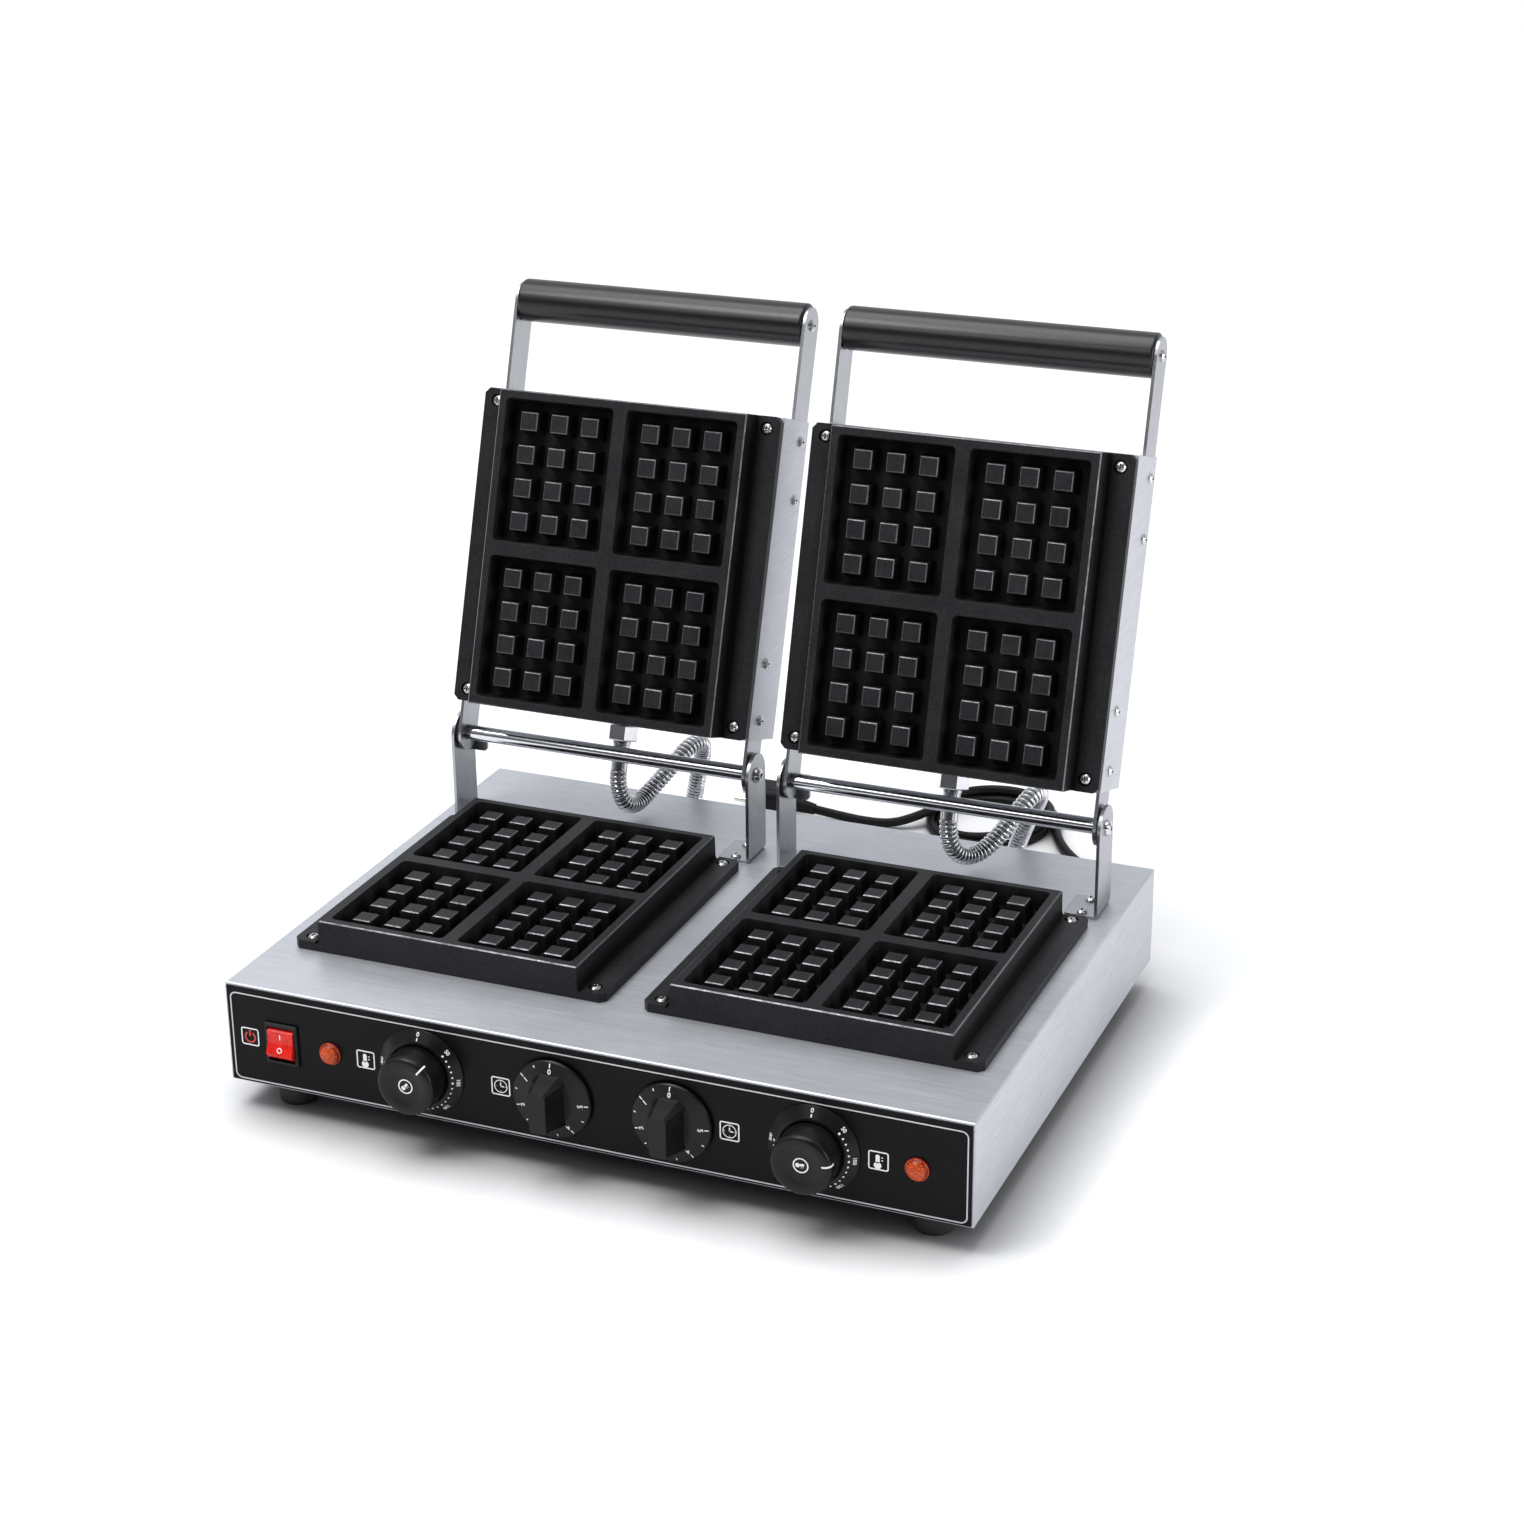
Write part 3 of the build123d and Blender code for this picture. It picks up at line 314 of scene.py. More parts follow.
def hose_material():
    m = Mat("conduit_chrome", (0.55, 0.56, 0.58), 1.0, 0.2)
    wear = m.noise(60.0, 4.0, 0.65, 0.5)
    fine = m.noise(900.0, 3.0, 0.6)
    shine = m.mix(m.remap(wear, 0.35, 0.65, 0, 1), (0.56, 0.565, 0.585), (0.74, 0.745, 0.765))
    # painted shade: the grooves between the ridges are darkened to near black where ambient occlusion is low
    hollow = m.add("ShaderNodeAmbientOcclusion", samples=6, only_local=True)
    hollow.inputs["Distance"].default_value = 0.0014
    m.color(m.mix(m.remap(hollow.outputs["AO"], 0.52, 0.94, 0.0, 1.0), (0.03, 0.031, 0.034), shine))
    m.rough(m.remap(m.calc("ADD", m.calc("MULTIPLY", wear, 0.6), m.calc("MULTIPLY", fine, 0.4)), 0.3, 0.7, 0.10, 0.22))
    m.normal(m.bump(fine, 0.08, 0.0001))
    return m.mat


MATS = {
    "stainless": brushed("stainless_brushed", (0.460, 0.474, 0.510), (0.600, 0.615, 0.655), 0.38, 0.50, metallic=0.70),
    "stainless_arm": brushed("stainless_strip", (0.32, 0.33, 0.35), (0.42, 0.43, 0.455), 0.24, 0.36, along="z", edge=0.0004, strength=0.08),
    "galvanised": galvanised_material(),
    # painted shade: the screw heads are darkened in their recesses
    "screw_steel": mottled("screw_plated", (0.56, 0.56, 0.57), (0.70, 0.70, 0.71), 1.0, 0.18, 0.32, 800.0, 0.0001, 0.0003, 0.1, recess_shade=(0.02, 0.02, 0.021), reach=0.0018),
    "panel_black": mottled("panel_film", (0.0026, 0.0026, 0.0031), (0.0046, 0.0046, 0.0054), 0.0, 0.26, 0.36, 300.0, 0.00006, 0.0003, 0.12, fine=2200.0, Specular_IOR_Level=0.10),
    "foot_rubber": mottled("foot_rubber", (0.018, 0.018, 0.018), (0.032, 0.032, 0.031), 0.0, 0.6, 0.78, 700.0, 0.0002, 0.0007, 0.3),
    "element_sheath": mottled("element_sheath", (0.14, 0.125, 0.11), (0.26, 0.25, 0.235), 0.9, 0.42, 0.62, 300.0, 0.0001, 0.0003, 0.25),
    "washer_black": mottled("washer_black", (0.035, 0.035, 0.037), (0.06, 0.06, 0.062), 0.3, 0.32, 0.5, 600.0, 0.0001, 0.0004, 0.15),
    # painted shade: the chrome parts are darkened in their recesses and crevices
    "chrome_parts": mottled("chrome_plate", (0.58, 0.585, 0.61), (0.68, 0.685, 0.71), 1.0, 0.09, 0.14, 500.0, 0.00005, 0.0004, 0.015, recess_shade=(0.10, 0.10, 0.11), reach=0.0022),
    "hose_chrome": hose_material(),
    "black_plastic": mottled("plastic_black", (0.0044, 0.0044, 0.0048), (0.0080, 0.0080, 0.0086), 0.0, 0.27, 0.38, 900.0, 0.0001, 0.0007, 0.16, fine=2600.0, Specular_IOR_Level=0.22),
    "red_rocker": rocker_material(),
    "lamp_orange": lamp_material(),
    "ceramic_white": mottled("ceramic_white", (0.72, 0.70, 0.65), (0.82, 0.80, 0.76), 0.0, 0.2, 0.35, 400.0, 0.0001, 0.0005, 0.1, Coat_Weight=0.3),
    "cord_black": mottled("cord_sheath", (0.0045, 0.0045, 0.0048), (0.0085, 0.0085, 0.0090), 0.0, 0.38, 0.54, 500.0, 0.0001, 0.0006, 0.2, Specular_IOR_Level=0.14),
    "brass_nickel": mottled("pin_nickel", (0.60, 0.58, 0.52), (0.72, 0.70, 0.65), 1.0, 0.14, 0.28, 600.0, 0.0001, 0.0003, 0.1),
    "plate_black": plate_material("cast_nonstick", (0, 0, 1)),
    "grip_black": brushed("grip_black", (0.0050, 0.0050, 0.0055), (0.0085, 0.0085, 0.0092), 0.24, 0.32, along="x", grain=900.0, edge=0.0012, strength=0.05),
}
grip = next(n for n in MATS["grip_black"].node_tree.nodes if n.type == "BSDF_PRINCIPLED")
grip.inputs["Metallic"].default_value = 0.0
grip.inputs["Specular IOR Level"].default_value = 0.42
INK_WHITE = mottled("ink_white", (0.86, 0.86, 0.86), (0.95, 0.95, 0.95), 0.0, 0.4, 0.55, 900.0, 0.00005, 0.0001, 0.1)
INK_RED = mottled("ink_red", (0.50, 0.035, 0.02), (0.66, 0.05, 0.03), 0.0, 0.4, 0.55, 900.0, 0.00005, 0.0001, 0.1)
INK_SILVER = mottled("ink_silver", (0.50, 0.51, 0.53), (0.64, 0.65, 0.67), 0.5, 0.35, 0.5, 900.0, 0.00005, 0.0001, 0.1)

for row in frame["record"]["subparts"]:
    o = nodes[row["node"]]
    o.data.materials.clear()
    o.data.materials.append(MATS[row["material_slot"]])
for side, lean in (("left", 18.5), ("right", 16.5)):
    o = nodes[side + "_upper_plate"]
    o.data.materials.clear()
    o.data.materials.append(plate_material("cast_nonstick_" + side, (0, -math.cos(math.radians(lean)), math.sin(math.radians(lean)))))


# --------------------------------------------------------------- mesh helpers
def sharpen(mesh, angle=35.0):
    bm = bmesh.new()
    bm.from_mesh(mesh)
    for f in bm.faces:
        f.smooth = True
    for e in bm.edges:
        e.smooth = len(e.link_faces) == 2 and e.calc_face_angle(0.0) < math.radians(angle)
    bm.to_mesh(mesh)
    bm.free()


def piece(name, verts, faces, material, body=None, angle=35.0, matrix=None, outward=True):
    mesh = bpy.data.meshes.new(name)
    mesh.from_pydata([tuple(v) for v in verts], [], faces)
    mesh.validate()
    if matrix is not None:
        mesh.transform(matrix)
    if outward:
        bm = bmesh.new()
        bm.from_mesh(mesh)
        bmesh.ops.recalc_face_normals(bm, faces=bm.faces)
        bm.to_mesh(mesh)
        bm.free()
    sharpen(mesh, angle)
    mesh.materials.append(material)
    o = bpy.data.objects.new(name, mesh)
    col.objects.link(o)
    if body:
        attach(o, body)
    return o


def lathe(profile, seg=72, closed=False):
    """Verts and faces of a profile of (radius, height) turned about local z."""
    verts, faces, rows = [], [], []
    for r, h in profile:
        if r < 1e-6:
            rows.append([len(verts)])
            verts.append((0.0, 0.0, h))
        else:
            rows.append(list(range(len(verts), len(verts) + seg)))
            verts += [(r * math.cos(2 * math.pi * k / seg), r * math.sin(2 * math.pi * k / seg), h) for k in range(seg)]
    pairs = list(zip(rows, rows[1:])) + ([(rows[-1], rows[0])] if closed else [])
    for a, b in pairs:
        for k in range(seg):
            n = (k + 1) % seg
            if len(a) == 1 and len(b) == 1:
                continue
            if len(a) == 1:
                faces.append((a[0], b[k], b[n]))
            elif len(b) == 1:
                faces.append((a[k], b[0], a[n]))
            else:
                faces.append((a[k], b[k], b[n], a[n]))
    return verts, faces


def rounded(points, steps=5):
    """A smoother profile through the same points (Catmull-Rom)."""
    p = [np.array(q, float) for q in points]
    out = []
    for i in range(len(p) - 1):
        a, b, c, d = p[max(i - 1, 0)], p[i], p[i + 1], p[min(i + 2, len(p) - 1)]
        for k in range(steps):
            t = k / steps
            out.append(tuple(0.5 * (2 * b + (c - a) * t + (2 * a - 5 * b + 4 * c - d) * t * t + (3 * b - a - 3 * c + d) * t ** 3)))
    out.append(tuple(p[-1]))
    return [(max(0.0, r), h) for r, h in out]


class Print:
    """Flat printed marks in millimetres on a local plane, each a closed sliver of ink."""

    def __init__(self):
        self.v, self.f = [], []

    def slab(self, loops, quads, place=None, thick=0.05, base=0.0):
        """Faces over the points, with a back and a rim."""
        n = len(self.v)
        m = place or Matrix.Identity(4)
        k = len(loops)
        for z in (base + thick, base - 0.02):
            self.v += [m @ Vector((x, y, z)) for x, y in loops]
        edges = {}
        for q in quads:
            self.f.append([n + i for i in q])
            self.f.append([n + k + i for i in reversed(q)])
            for a, b in zip(q, q[1:] + q[:1]):
                key = (min(a, b), max(a, b))
                edges[key] = None if key in edges else (a, b)
        for e in edges.values():
            if e:
                a, b = e
                self.f.append([n + b, n + a, n + k + a, n + k + b])

    def ring(self, outer, inner, **kw):
        k = len(outer)
        self.slab(outer + inner, [[i, (i + 1) % k, k + (i + 1) % k, k + i] for i in range(k)], **kw)

    def poly(self, pts, **kw):
        self.slab(pts, [list(range(len(pts)))], **kw)

    def disc(self, x, y, r, n=20, **kw):
        self.poly([(x + r * math.cos(2 * math.pi * i / n), y + r * math.sin(2 * math.pi * i / n)) for i in range(n)], **kw)

    def circle(self, x, y, r, t, n=40, a0=0.0, a1=360.0, **kw):
        full = abs(a1 - a0) >= 360
        ang = [math.radians(a0 + (a1 - a0) * i / n) for i in range(n if full else n + 1)]
        o = [(x + (r + t / 2) * math.cos(a), y + (r + t / 2) * math.sin(a)) for a in ang]
        i_ = [(x + (r - t / 2) * math.cos(a), y + (r - t / 2) * math.sin(a)) for a in ang]
        if full:
            self.ring(o, i_, **kw)
        else:
            k = len(o)
            self.slab(o + i_, [[i, i + 1, k + i + 1, k + i] for i in range(k - 1)], **kw)

    def bar(self, a, b, t, **kw):
        d = Vector((b[0] - a[0], b[1] - a[1])).normalized()
        nx, ny = -d.y * t / 2, d.x * t / 2
        self.poly([(a[0] + nx, a[1] + ny), (a[0] - nx, a[1] - ny), (b[0] - nx, b[1] - ny), (b[0] + nx, b[1] + ny)], **kw)

    def box(self, x, y, w, h, r, t, n=6, **kw):
        def outline(w, h, r):
            out = []
            for cx, cy, a in ((w / 2 - r, h / 2 - r, 0), (-w / 2 + r, h / 2 - r, 90), (-w / 2 + r, -h / 2 + r, 180), (w / 2 - r, -h / 2 + r, 270)):
                out += [(x + cx + r * math.cos(math.radians(a + 90 * i / n)), y + cy + r * math.sin(math.radians(a + 90 * i / n))) for i in range(n + 1)]
            return out
        self.ring(outline(w, h, r), outline(w - 2 * t, h - 2 * t, max(0.2, r - t)), **kw)

    def text(self, s, x, y, size, place=None, weight=0.0, base=0.0, thick=0.05):
        """Numerals set about (x, y), size being their height."""
        cu = bpy.data.curves.new("numeral", "FONT")
        cu.body, cu.size, cu.align_x, cu.align_y = s, size / 0.72, "CENTER", "CENTER"
        cu.offset = weight
        cu.resolution_u = 4
        o = bpy.data.objects.new("numeral", cu)
        me = bpy.data.meshes.new_from_object(o)
        bm = bmesh.new()
        bm.from_mesh(me)
        bmesh.ops.remove_doubles(bm, verts=bm.verts, dist=1e-5)
        bm.verts.ensure_lookup_table()
        mid_y = (max(v.co.y for v in bm.verts) + min(v.co.y for v in bm.verts)) / 2
        mid_x = (max(v.co.x for v in bm.verts) + min(v.co.x for v in bm.verts)) / 2
        loops = [(v.co.x - mid_x + x, v.co.y - mid_y + y) for v in bm.verts]
        quads = [[v.index for v in f.verts] for f in bm.faces]
        bm.free()
        bpy.data.meshes.remove(me)
        bpy.data.objects.remove(o)
        bpy.data.curves.remove(cu)
        self.slab(loops, quads, place=place, base=base, thick=thick)

    def build(self, name, matrix, material, body, slot):
        o = piece(name, self.v, self.f, material, None, 30.0, matrix)
        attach(o, body)
        return o


def turned(phi, r, h, slope=0.0):
    """A place on a dial, phi degrees clockwise from the top: local y points outwards and local z out of the dial's slope."""
    a = math.radians(phi)
    up = Vector((math.sin(a), math.cos(a), 0))
    out = Vector((0, 0, 1))
    s, c = math.sin(slope), math.cos(slope)
    z = (out * c + up * s).normalized()
    y = (up * c - out * s).normalized()
    x = y.cross(z)
    at = up * r + out * h
    return Matrix(((x.x, y.x, z.x, at.x), (x.y, y.y, z.y, at.y), (x.z, y.z, z.z, at.z), (0, 0, 0, 1)))


# --------------------------------------------------------------------- camera
cam_data = bpy.data.cameras.new("camera")
cam_data.lens = 70.333
cam_data.sensor_width = 36.0
cam_data.clip_start, cam_data.clip_end = 0.05, 200.0
cam = bpy.data.objects.new("camera", cam_data)
cam.matrix_world = Matrix((
    (0.92447141, -0.13747035, 0.35560443, 0.80006163),
    (0.38115316, 0.35442740, -0.85387557, -1.82794640),
    (-0.00865338, 0.92492330, 0.38005526, 1.04061313),
    (0, 0, 0, 1)))
col.objects.link(cam)
scene.camera = cam


# ---------------------------------------------------------------------- cords
def spline(name, points, bevel=0.0, resolution=16):
    cu = bpy.data.curves.new(name, "CURVE")
    cu.dimensions = "3D"
    sp = cu.splines.new("NURBS")
    sp.points.add(len(points) - 1)
    for a, b in zip(sp.points, points):
        a.co = (*P(*b), 1.0)
    sp.order_u = 3
    sp.use_endpoint_u = True
    cu.resolution_u = resolution
    sp.resolution_u = resolution
    cu.bevel_depth = bevel
    cu.bevel_resolution = 6
    cu.use_fill_caps = True
    return bpy.data.objects.new(name, cu)


def centres(points, resolution=16):
    o = spline("route", points, 0.0, resolution)
    me = bpy.data.meshes.new_from_object(o)
    out = [v.co.copy() for v in me.vertices]
    bpy.data.meshes.remove(me)
    bpy.data.curves.remove(o.data)
    return out


FLOOR = -99.0
CORD_R = 3.9
CZ = FLOOR + CORD_R + 0.1
LOOP = (70.0, 464.0)
lead = [(215, 249, -49), (215, 290, -49), (212, 341, CZ), (186, 386, CZ), (149, 421, CZ)]
turns = []
# (angle, radius of the turn, height above the floor) of the loose loop
for ang, rad, up in (
        (-4, 57.5, 0), (20, 56.8, 0), (44, 56.3, 0), (68, 56.6, 0), (92, 57.2, 0), (116, 57.0, 0), (140, 56.2, 0), (164, 55.8, 0), (188, 56.0, 0), (212, 56.4, 0), (236, 56.6, 0), (260, 56.0, 0),
        (284, 54.0, 0), (308, 51.2, 0), (332, 48.8, 0), (356, 47.4, 0),
        (380, 46.6, 0), (404, 46.4, 0), (428, 47.2, 0), (452, 47.9, 0), (476, 47.6, 0), (500, 46.8, 0), (524, 46.3, 0), (548, 46.3, 0), (572, 46.8, 0), (596, 47.0, 0.4), (620, 46.8, 2.4),
        (644, 46.6, 5.2), (668, 46.6, 7.6), (692, 47.2, 8.4), (716, 49.0, 8.4), (740, 51.0, 8.2), (764, 52.2, 8.0), (788, 53.0, 8.0), (812, 53.2, 8.0), (836, 52.6, 8.0), (860, 51.8, 8.2), (884, 51.2, 8.4)):
    a = math.radians(ang)
    turns.append((LOOP[0] + rad * math.cos(a), LOOP[1] + rad * math.sin(a), CZ + up))
tail = [(18.5, 450, CZ + 8.6), (9, 434, CZ + 6.6), (-9, 425, CZ + 1.0), (-31, 423, CZ), (-58, 425, CZ + 0.6), (-80, 420.5, -90)]
cord = spline("mains_lead", lead + turns + tail, CORD_R / 1000, 14)
cord.data.materials.append(MATS["cord_black"])
col.objects.link(cord)
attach(cord, "base")
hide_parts("cord_lead", "cord_coil", "cord_tail")

# moulded strain relief where the lead leaves the base
prof = [(0, 0.2), (10.5, 0.2), (10.5, 2.4), (9.8, 3.2), (7.8, 3.6)]
y, r = 4.6, 7.5
while y < 35.0:
    prof += [(r, y), (r, y + 2.6), (r - 1.25, y + 2.9), (r - 1.25, y + 3.9)]
    y += 4.2
    r -= 0.27
prof += [(5.3, y), (5.2, 36.2), (4.6, 37.0), (0, 37.0)]
v, f = lathe(prof, 48)
relief = piece("strain_relief", v, f, MATS["cord_black"], "base", 30.0,
               Matrix.Translation(P(215, 213, -49)) @ Matrix.Rotation(math.radians(-90), 4, "X") @ Matrix.Scale(0.001, 4))
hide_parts("cord_gland")

# stripwound metal conduits
HOSES = {
    "left": [(-135.5, 140.3, 47.1), (-135.5, 136.5, 35.7), (-132, 141.6, 18.5), (-129, 156.2, 12.0), (-126, 171.9, 16.1), (-110, 191.2, 38.0), (-104, 205.9, 47.6),
             (-100, 219.9, 46.6), (-101.5, 230.2, 36.5), (-109, 236.0, 14.8), (-118, 246, -16), (-120.5, 241.9, -29.4), (-121, 230.6, -37.6), (-121, 220.6, -37.6)],
    "right": [(138.5, 141.0, 47.6), (138.5, 137.6, 36.1), (143.5, 142.5, 20.0), (151, 155.5, 12.5), (162, 170.5, 17), (178, 190, 42), (184.5, 203.5, 51),
              (186.5, 217.5, 47.5), (182, 228.0, 35.5), (171, 235.0, 14), (159, 246, -16), (156.5, 241.9, -29.4), (156, 230.6, -37.6), (156, 220.6, -37.6)],
}


def conduit(name, line, radius, groove, pitch, sides=26):
    """A helically ridged tube on the line's own points."""
    tangents = []
    for i in range(len(line)):
        d = line[min(i + 1, len(line) - 1)] - line[max(i - 1, 0)]
        tangents.append(d.normalized())
    ref = tangents[0].orthogonal().normalized()
    verts, faces, s = [], [], 0.0
    for i, (c, t) in enumerate(zip(line, tangents)):
        if i:
            s += (c - line[i - 1]).length
            ref = (ref - t * ref.dot(t)).normalized()
        other = t.cross(ref)
        for k in range(sides):
            a = 2 * math.pi * k / sides
            phase = (s / pitch - k / sides) % 1.0
            hump = abs(math.sin(math.pi * phase)) ** 0.55
            r = radius - groove * (1 - hump)
            verts.append(c + (ref * math.cos(a) + other * math.sin(a)) * r)
    n = len(line)
    for i in range(n - 1):
        for k in range(sides):
            q = (k + 1) % sides
            faces.append((i * sides + k, i * sides + q, (i + 1) * sides + q, (i + 1) * sides + k))
    faces.append(tuple(reversed(range(sides))))
    faces.append(tuple((n - 1) * sides + k for k in range(sides)))
    return piece(name, verts, faces, MATS["hose_chrome"], None, 60.0)


for side, route in HOSES.items():
    line = centres(route, 48)
    hose = conduit(side + "_conduit", line, 0.0071, 0.0016, 0.0036)
    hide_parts(side + "_hose")
    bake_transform(hose)

# ---------------------------------------------------------------- hinge rods
for side, x in (("left", -138.5), ("right", 138.5)):
    prof = [(0, -124.4), (4.0, -124.4), (4.0, -119.7), (5.5, -119.7), (6.0, -119.2), (6.0, 119.2), (5.5, 119.7), (4.0, 119.7), (4.0, 124.4), (0, 124.4)]
    v, f = lathe(prof, 56)
    rod = piece(side + "_hinge_rod", v, f, MATS["chrome_parts"], "base", 35.0,
                Matrix.Translation(P(x, 125, 67.5)) @ Matrix.Rotation(math.radians(90), 4, "Y") @ Matrix.Scale(0.001, 4))
    if side == "left":
        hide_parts("hinge_rods")

# -------------------------------------------------------------- control panel
white, red, silver = Print(), Print(), Print()
flat = panel_frame(0, 0)
silver.box(0, -40.4, 552, 68.6, 5.0, 0.95, 8)
# power switch symbol
white.box(-261.7, -39.8, 14.4, 13.8, 2.0, 0.95)
red.circle(-261.7, -40.2, 3.9, 1.3, 30, 122, 418)
red.bar((-261.7, -39.4), (-261.7, -34.6), 1.3)


def thermometer(ink, x, y, s=1.0, place=None):
    """Bulb and stem with a few graduations."""
    kw = {} if place is None else {"place": place}
    ink.disc(x, y - 2.9 * s, 2.75 * s, 28, **kw)
    ink.poly([(x - 1.5 * s, y - 1.2 * s), (x + 1.5 * s, y - 1.2 * s), (x + 1.5 * s, y + 4.2 * s), (x + 0.9 * s, y + 5.2 * s), (x - 0.9 * s, y + 5.2 * s), (x - 1.5 * s, y + 4.2 * s)], **kw)
    for i in range(2):
        yy = y + (1.2 + 2.2 * i) * s
        ink.bar((x + 2.6 * s, yy), (x + 3.9 * s, yy), 0.7 * s, **kw)


for x in (-168.2, 214.0):
    white.box(x, -40.2, 14.4, 14.0, 1.8, 0.95)
    thermometer(white, x - 0.6, -40.9, 0.98)
for x in (-62.5, 108.2):
    white.box(x, -40.2, 14.4, 14.0, 1.8, 0.95)
    white.circle(x, -40.2, 4.75, 0.62, 36)
    for k in range(0, 12, 3):
        a = math.radians(30 * k)
        white.bar((x + 3.3 * math.sin(a), -40.2 + 3.3 * math.cos(a)), (x + 3.95 * math.sin(a), -40.2 + 3.95 * math.cos(a)), 0.5)
    white.bar((x, -40.7), (x, -37.4), 0.95)
    white.bar((x - 0.45, -40.2), (x + 2.6, -40.2), 0.95)
silver.build("panel_border", flat, INK_SILVER, "base", "panel_black")
white.build("panel_symbols", flat, INK_WHITE, "base", "panel_black")
red.build("power_symbol", flat, INK_RED, "base", "panel_black")

# temperature dials: fixed graduated rings and turning knobs
CONE = math.atan2(5.0, 7.6)


def on_cone(r):
    return 1.0 + (32.8 - r) / 7.6 * 5.0


KH = 26.0
KNOB = [(0, KH - 2.1), (4.0, KH - 2.08), (8.0, KH - 1.85), (11.5, KH - 1.25), (14.2, KH - 0.5), (16.4, KH - 0.08), (18.2, KH), (19.8, KH - 0.28), (21.0, KH - 1.1), (21.75, KH - 2.4), (22.0, KH - 4.2)]

KNOB_LINE = rounded(KNOB, 4)


def knob_height(r):
    for (r0, h0), (r1, h1) in zip(KNOB_LINE, KNOB_LINE[1:]):
        if r0 <= r <= r1:
            return h0 + (h1 - h0) * (r - r0) / (r1 - r0)
    return KNOB_LINE[-1][1]


for side, x, turn in (("left", -123.7, 40.0), ("right", 168.7, 80.0)):
    dial = Print()
    dial.text("0", 0, 0, 3.2, place=turned(0, 30.1, on_cone(30.1), CONE), weight=0.06)
    dial.bar((0, -1.0), (0, 1.2), 0.85, place=turned(0, 26.9, on_cone(26.9), CONE))
    for k in range(26):
        phi = 48 + 9.2 * k
        dial.disc(0, 0, 0.70 if k % 5 else 0.82, 14, place=turned(phi, 26.6, on_cone(26.6), CONE))
        if k % 5 == 0:
            dial.text(str(50 + 10 * k), 0, 0, 2.8, place=turned(phi, 30.0, on_cone(30.0), CONE), weight=0.07)
    dial.build(side + "_dial_numbers", panel_frame(x), INK_WHITE, "base", "black_plastic")

    prof = rounded(KNOB, 4)
    body_prof = prof + [(22.0, 12.0), (22.0, 3.2), (21.4, 2.2), (5.4, 2.2), (5.4, 9.5), (3.2, 9.5), (3.2, 2.2 + 8.0), (0, 2.2 + 8.0)]
    v, f = lathe(body_prof, 96)
    knob = piece(side + "_temperature_knob", v, f, MATS["black_plastic"], side + "_temp_control", 38.0, panel_frame(x))
    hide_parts(side + "_temp_knob")
    mark = Print()
    spin = turned(turn, 0, 0)
    # pointer over the rounded front edge
    w = 0.62
    rs = [15.4, 16.4, 17.4, 18.4, 19.2, 19.8, 20.4, 20.8, 21.2, 21.5, 21.7, 21.85]
    path = [(r + 0.1, knob_height(r) + 0.16) for r in rs] + [(22.14, KH - 4.2), (22.14, KH - 5.6)]
    n0 = len(mark.v)
    for r, h in path:
        for sx in (-w, w):
            mark.v.append(spin @ Vector((sx, r, h)))
    for r, h in path:
        for sx in (-w, w):
            mark.v.append(spin @ Vector((sx, r - 0.12, h - 0.12)))
    k = len(path) * 2
    for i in range(len(path) - 1):
        a = n0 + 2 * i
        mark.f += [[a, a + 2, a + 3, a + 1], [a + k, a + k + 1, a + k + 3, a + k + 2], [a, a + k, a + k + 2, a + 2], [a + 1, a + 3, a + k + 3, a + k + 1]]
    mark.f += [[n0, n0 + 1, n0 + k + 1, n0 + k], [n0 + k - 2, n0 + 2 * k - 2, n0 + 2 * k - 1, n0 + k - 1]]
    face = spin @ Matrix.Translation((0, 0, KH - 2.06))
    mark.circle(0, 0, 5.1, 0.9, 44, place=face)
    thermometer(mark, -0.3, -0.4, 0.58, place=face)
    mark.build(side + "_knob_marks", panel_frame(x), INK_WHITE, side + "_temp_control", "black_plastic")

# timers: numbered skirt turning with the bar knob
SKIRT = math.atan2(2.6, 9.6)


def on_skirt(r):
    return 4.0 + (28.6 - r) / 9.6 * 2.6


for side, x in (("left", -22.0), ("right", 67.0)):
    dial = Print()
    for k in range(11):
        phi = -27.0 * k
        major = k % 2 == 0
        dial.bar((0, -1.5 if major else -0.9), (0, 1.5 if major else 0.9), 0.8, place=turned(phi, 26.4, on_skirt(26.4), SKIRT))
        if major:
            dial.text(str(k // 2), 0, 0, 3.7, place=turned(phi, 22.3, on_skirt(22.3), SKIRT), weight=0.12)
    dial.build(side + "_timer_numbers", panel_frame(x), INK_WHITE, side + "_timer_control", "black_plastic")

# lamps: faceted lens in a thin bezel
for side, x in (("left", -196.2), ("right", 241.2)):
    prof = [(0, 0.05), (8.5, 0.05), (8.5, 1.3), (8.3, 1.7), (7.9, 1.75), (7.6, 2.2), (7.0, 3.6), (5.9, 4.8), (4.2, 5.7), (2.2, 6.15), (0, 6.25)]
    v, f = lathe(prof, 28)
    lens = piece(side + "_lamp_lens", v, f, MATS["lamp_orange"], "base", 16.0, panel_frame(x))
    if side == "left":
        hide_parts("lamp_lenses")

# rocker switch marks, on the two faces of the tilted rocker
tilt = math.atan(math.tan(math.radians(11.0)))
pivot = Matrix.Translation(P(-235.0, -209.5, CTRL_Z)) @ Matrix(((1, 0, 0), (0, 0, -1), (0, 1, 0))).to_4x4() @ Matrix.Rotation(math.radians(-11.0), 4, "X") @ Matrix.Scale(0.001, 4)
marks = Print()
for s in (1, -1):
    place = Matrix.Translation((0, 0, 8.3)) @ Matrix.Rotation(s * tilt, 4, "X") @ Matrix.Translation((0, s * 4.9, 0))
    if s > 0:
        marks.bar((0, -1.9), (0, 1.9), 0.75, place=place)
    else:
        marks.circle(0, 0, 1.7, 0.7, 28, place=place)
marks.build("rocker_marks", pivot, INK_WHITE, "power_switch", "red_rocker")

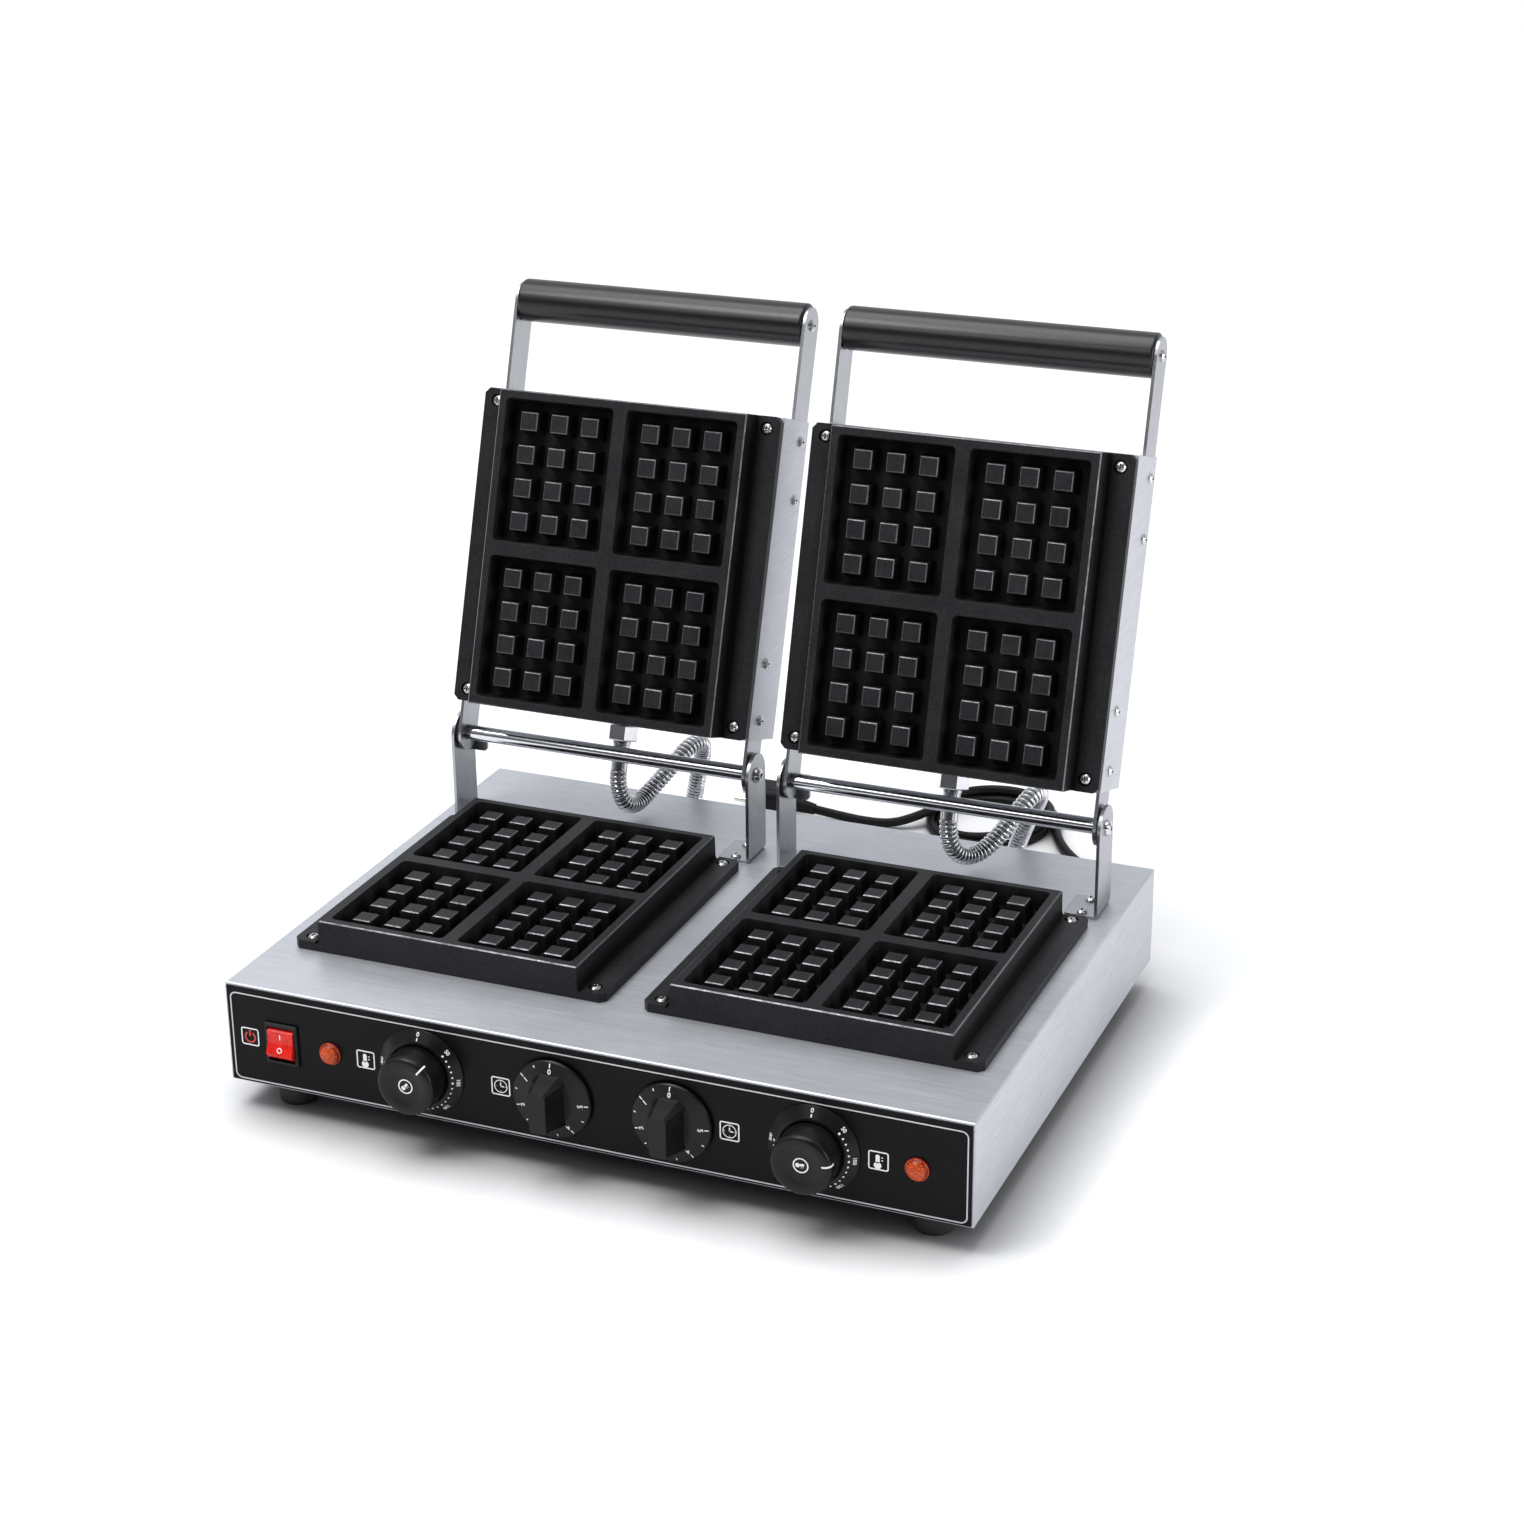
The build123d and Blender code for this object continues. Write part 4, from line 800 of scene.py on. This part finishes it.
# ---------------------------------------------------------------------- studio
floor_mesh = bpy.data.meshes.new("floor")
bm = bmesh.new()
bmesh.ops.create_circle(bm, cap_ends=True, radius=40.0, segments=96)
bm.to_mesh(floor_mesh)
bm.free()
floor_mesh.transform(Matrix.Translation((0, 0, -0.0002)))
fm = Mat("studio_floor", (0.86, 0.86, 0.87), 0.0, 0.7)
# painted shadow: the floor turns dark grey near the object where ambient occlusion is low
floor_shadow_ao = fm.add("ShaderNodeAmbientOcclusion", samples=16)
floor_shadow_ao.inputs["Distance"].default_value = 0.075
pale = fm.mix(fm.noise(3.0, 2.0), (0.88, 0.88, 0.885), (0.90, 0.90, 0.905))
fm.color(fm.mix(fm.remap(floor_shadow_ao.outputs["AO"], 0.15, 1.0, 0.0, 1.0), (0.12, 0.12, 0.125), pale))
floor_mesh.materials.append(fm.mat)
floor = bpy.data.objects.new("floor", floor_mesh)
col.objects.link(floor)

world = bpy.data.worlds.new("studio")
scene.world = world
world.use_nodes = True
wt = world.node_tree
bg = next(n for n in wt.nodes if n.type == "BACKGROUND")
sky_dir = wt.nodes.new("ShaderNodeTexCoord")
sky_axes = wt.nodes.new("ShaderNodeSeparateXYZ")
sky = wt.nodes.new("ShaderNodeMapRange")
wt.links.new(sky_dir.outputs["Generated"], sky_axes.inputs[0])
wt.links.new(sky_axes.outputs["Z"], sky.inputs["Value"])
for k, q in (("From Min", 0.0), ("From Max", 1.0), ("To Min", 0.46), ("To Max", 0.74)):
    sky.inputs[k].default_value = q
# a bright wall behind the object and a dark room in front of it
wall = wt.nodes.new("ShaderNodeVectorMath")
wall.operation = "DOT_PRODUCT"
wt.links.new(sky_dir.outputs["Generated"], wall.inputs[0])
wall.inputs[1].default_value = (-0.40, 0.917, 0.0)
turn = wt.nodes.new("ShaderNodeMapRange")
wt.links.new(wall.outputs["Value"], turn.inputs["Value"])
for k, q in (("From Min", -0.9), ("From Max", 0.9), ("To Min", 0.10), ("To Max", 1.60)):
    turn.inputs[k].default_value = q
both = wt.nodes.new("ShaderNodeMath")
both.operation = "MULTIPLY"
wt.links.new(sky.outputs["Result"], both.inputs[0])
wt.links.new(turn.outputs["Result"], both.inputs[1])
# seen directly, the room is plain and pale like the floor
direct = wt.nodes.new("ShaderNodeLightPath")
plain = wt.nodes.new("ShaderNodeMix")
plain.data_type = "FLOAT"
wt.links.new(direct.outputs["Is Camera Ray"], plain.inputs[0])
wt.links.new(both.outputs[0], plain.inputs[2])
plain.inputs[3].default_value = 1.05
wt.links.new(plain.outputs[0], bg.inputs["Strength"])
bg.inputs["Color"].default_value = (0.95, 0.97, 1.0, 1)


def softbox(name, at, aim, size, watts, color=(1, 1, 1)):
    d = bpy.data.lights.new(name, "AREA")
    d.shape = "RECTANGLE"
    d.size, d.size_y = size
    d.energy = watts
    d.color = color
    o = bpy.data.objects.new(name, d)
    o.location = at
    o.rotation_mode = "QUATERNION"
    o.rotation_quaternion = (Vector(aim) - Vector(at)).to_track_quat("-Z", "Y")
    col.objects.link(o)
    return o


softbox("fill_right", (3.2, -0.2, 1.0), (0, 0, 0.2), (1.8, 1.4), 34)
softbox("front", (-1.2, -3.0, 2.6), (0, 0, 0.25), (1.4, 0.8), 12)
softbox("key", (-1.07, -1.20, 2.56), (0, 0, 0.1), (0.9, 0.9), 26)
sun = bpy.data.lights.new("overhead", "SUN")
sun.energy = 2.0
sun.angle = math.radians(46)
sun_o = bpy.data.objects.new("overhead", sun)
sun_o.rotation_mode = "QUATERNION"
sun_o.rotation_quaternion = Vector((0.16, 0.06, -0.98)).to_track_quat("-Z", "Y")
col.objects.link(sun_o)

scene.view_settings.view_transform = "Standard"
scene.view_settings.look = "None"
scene.view_settings.exposure = 0.0
scene.view_settings.gamma = 1.0
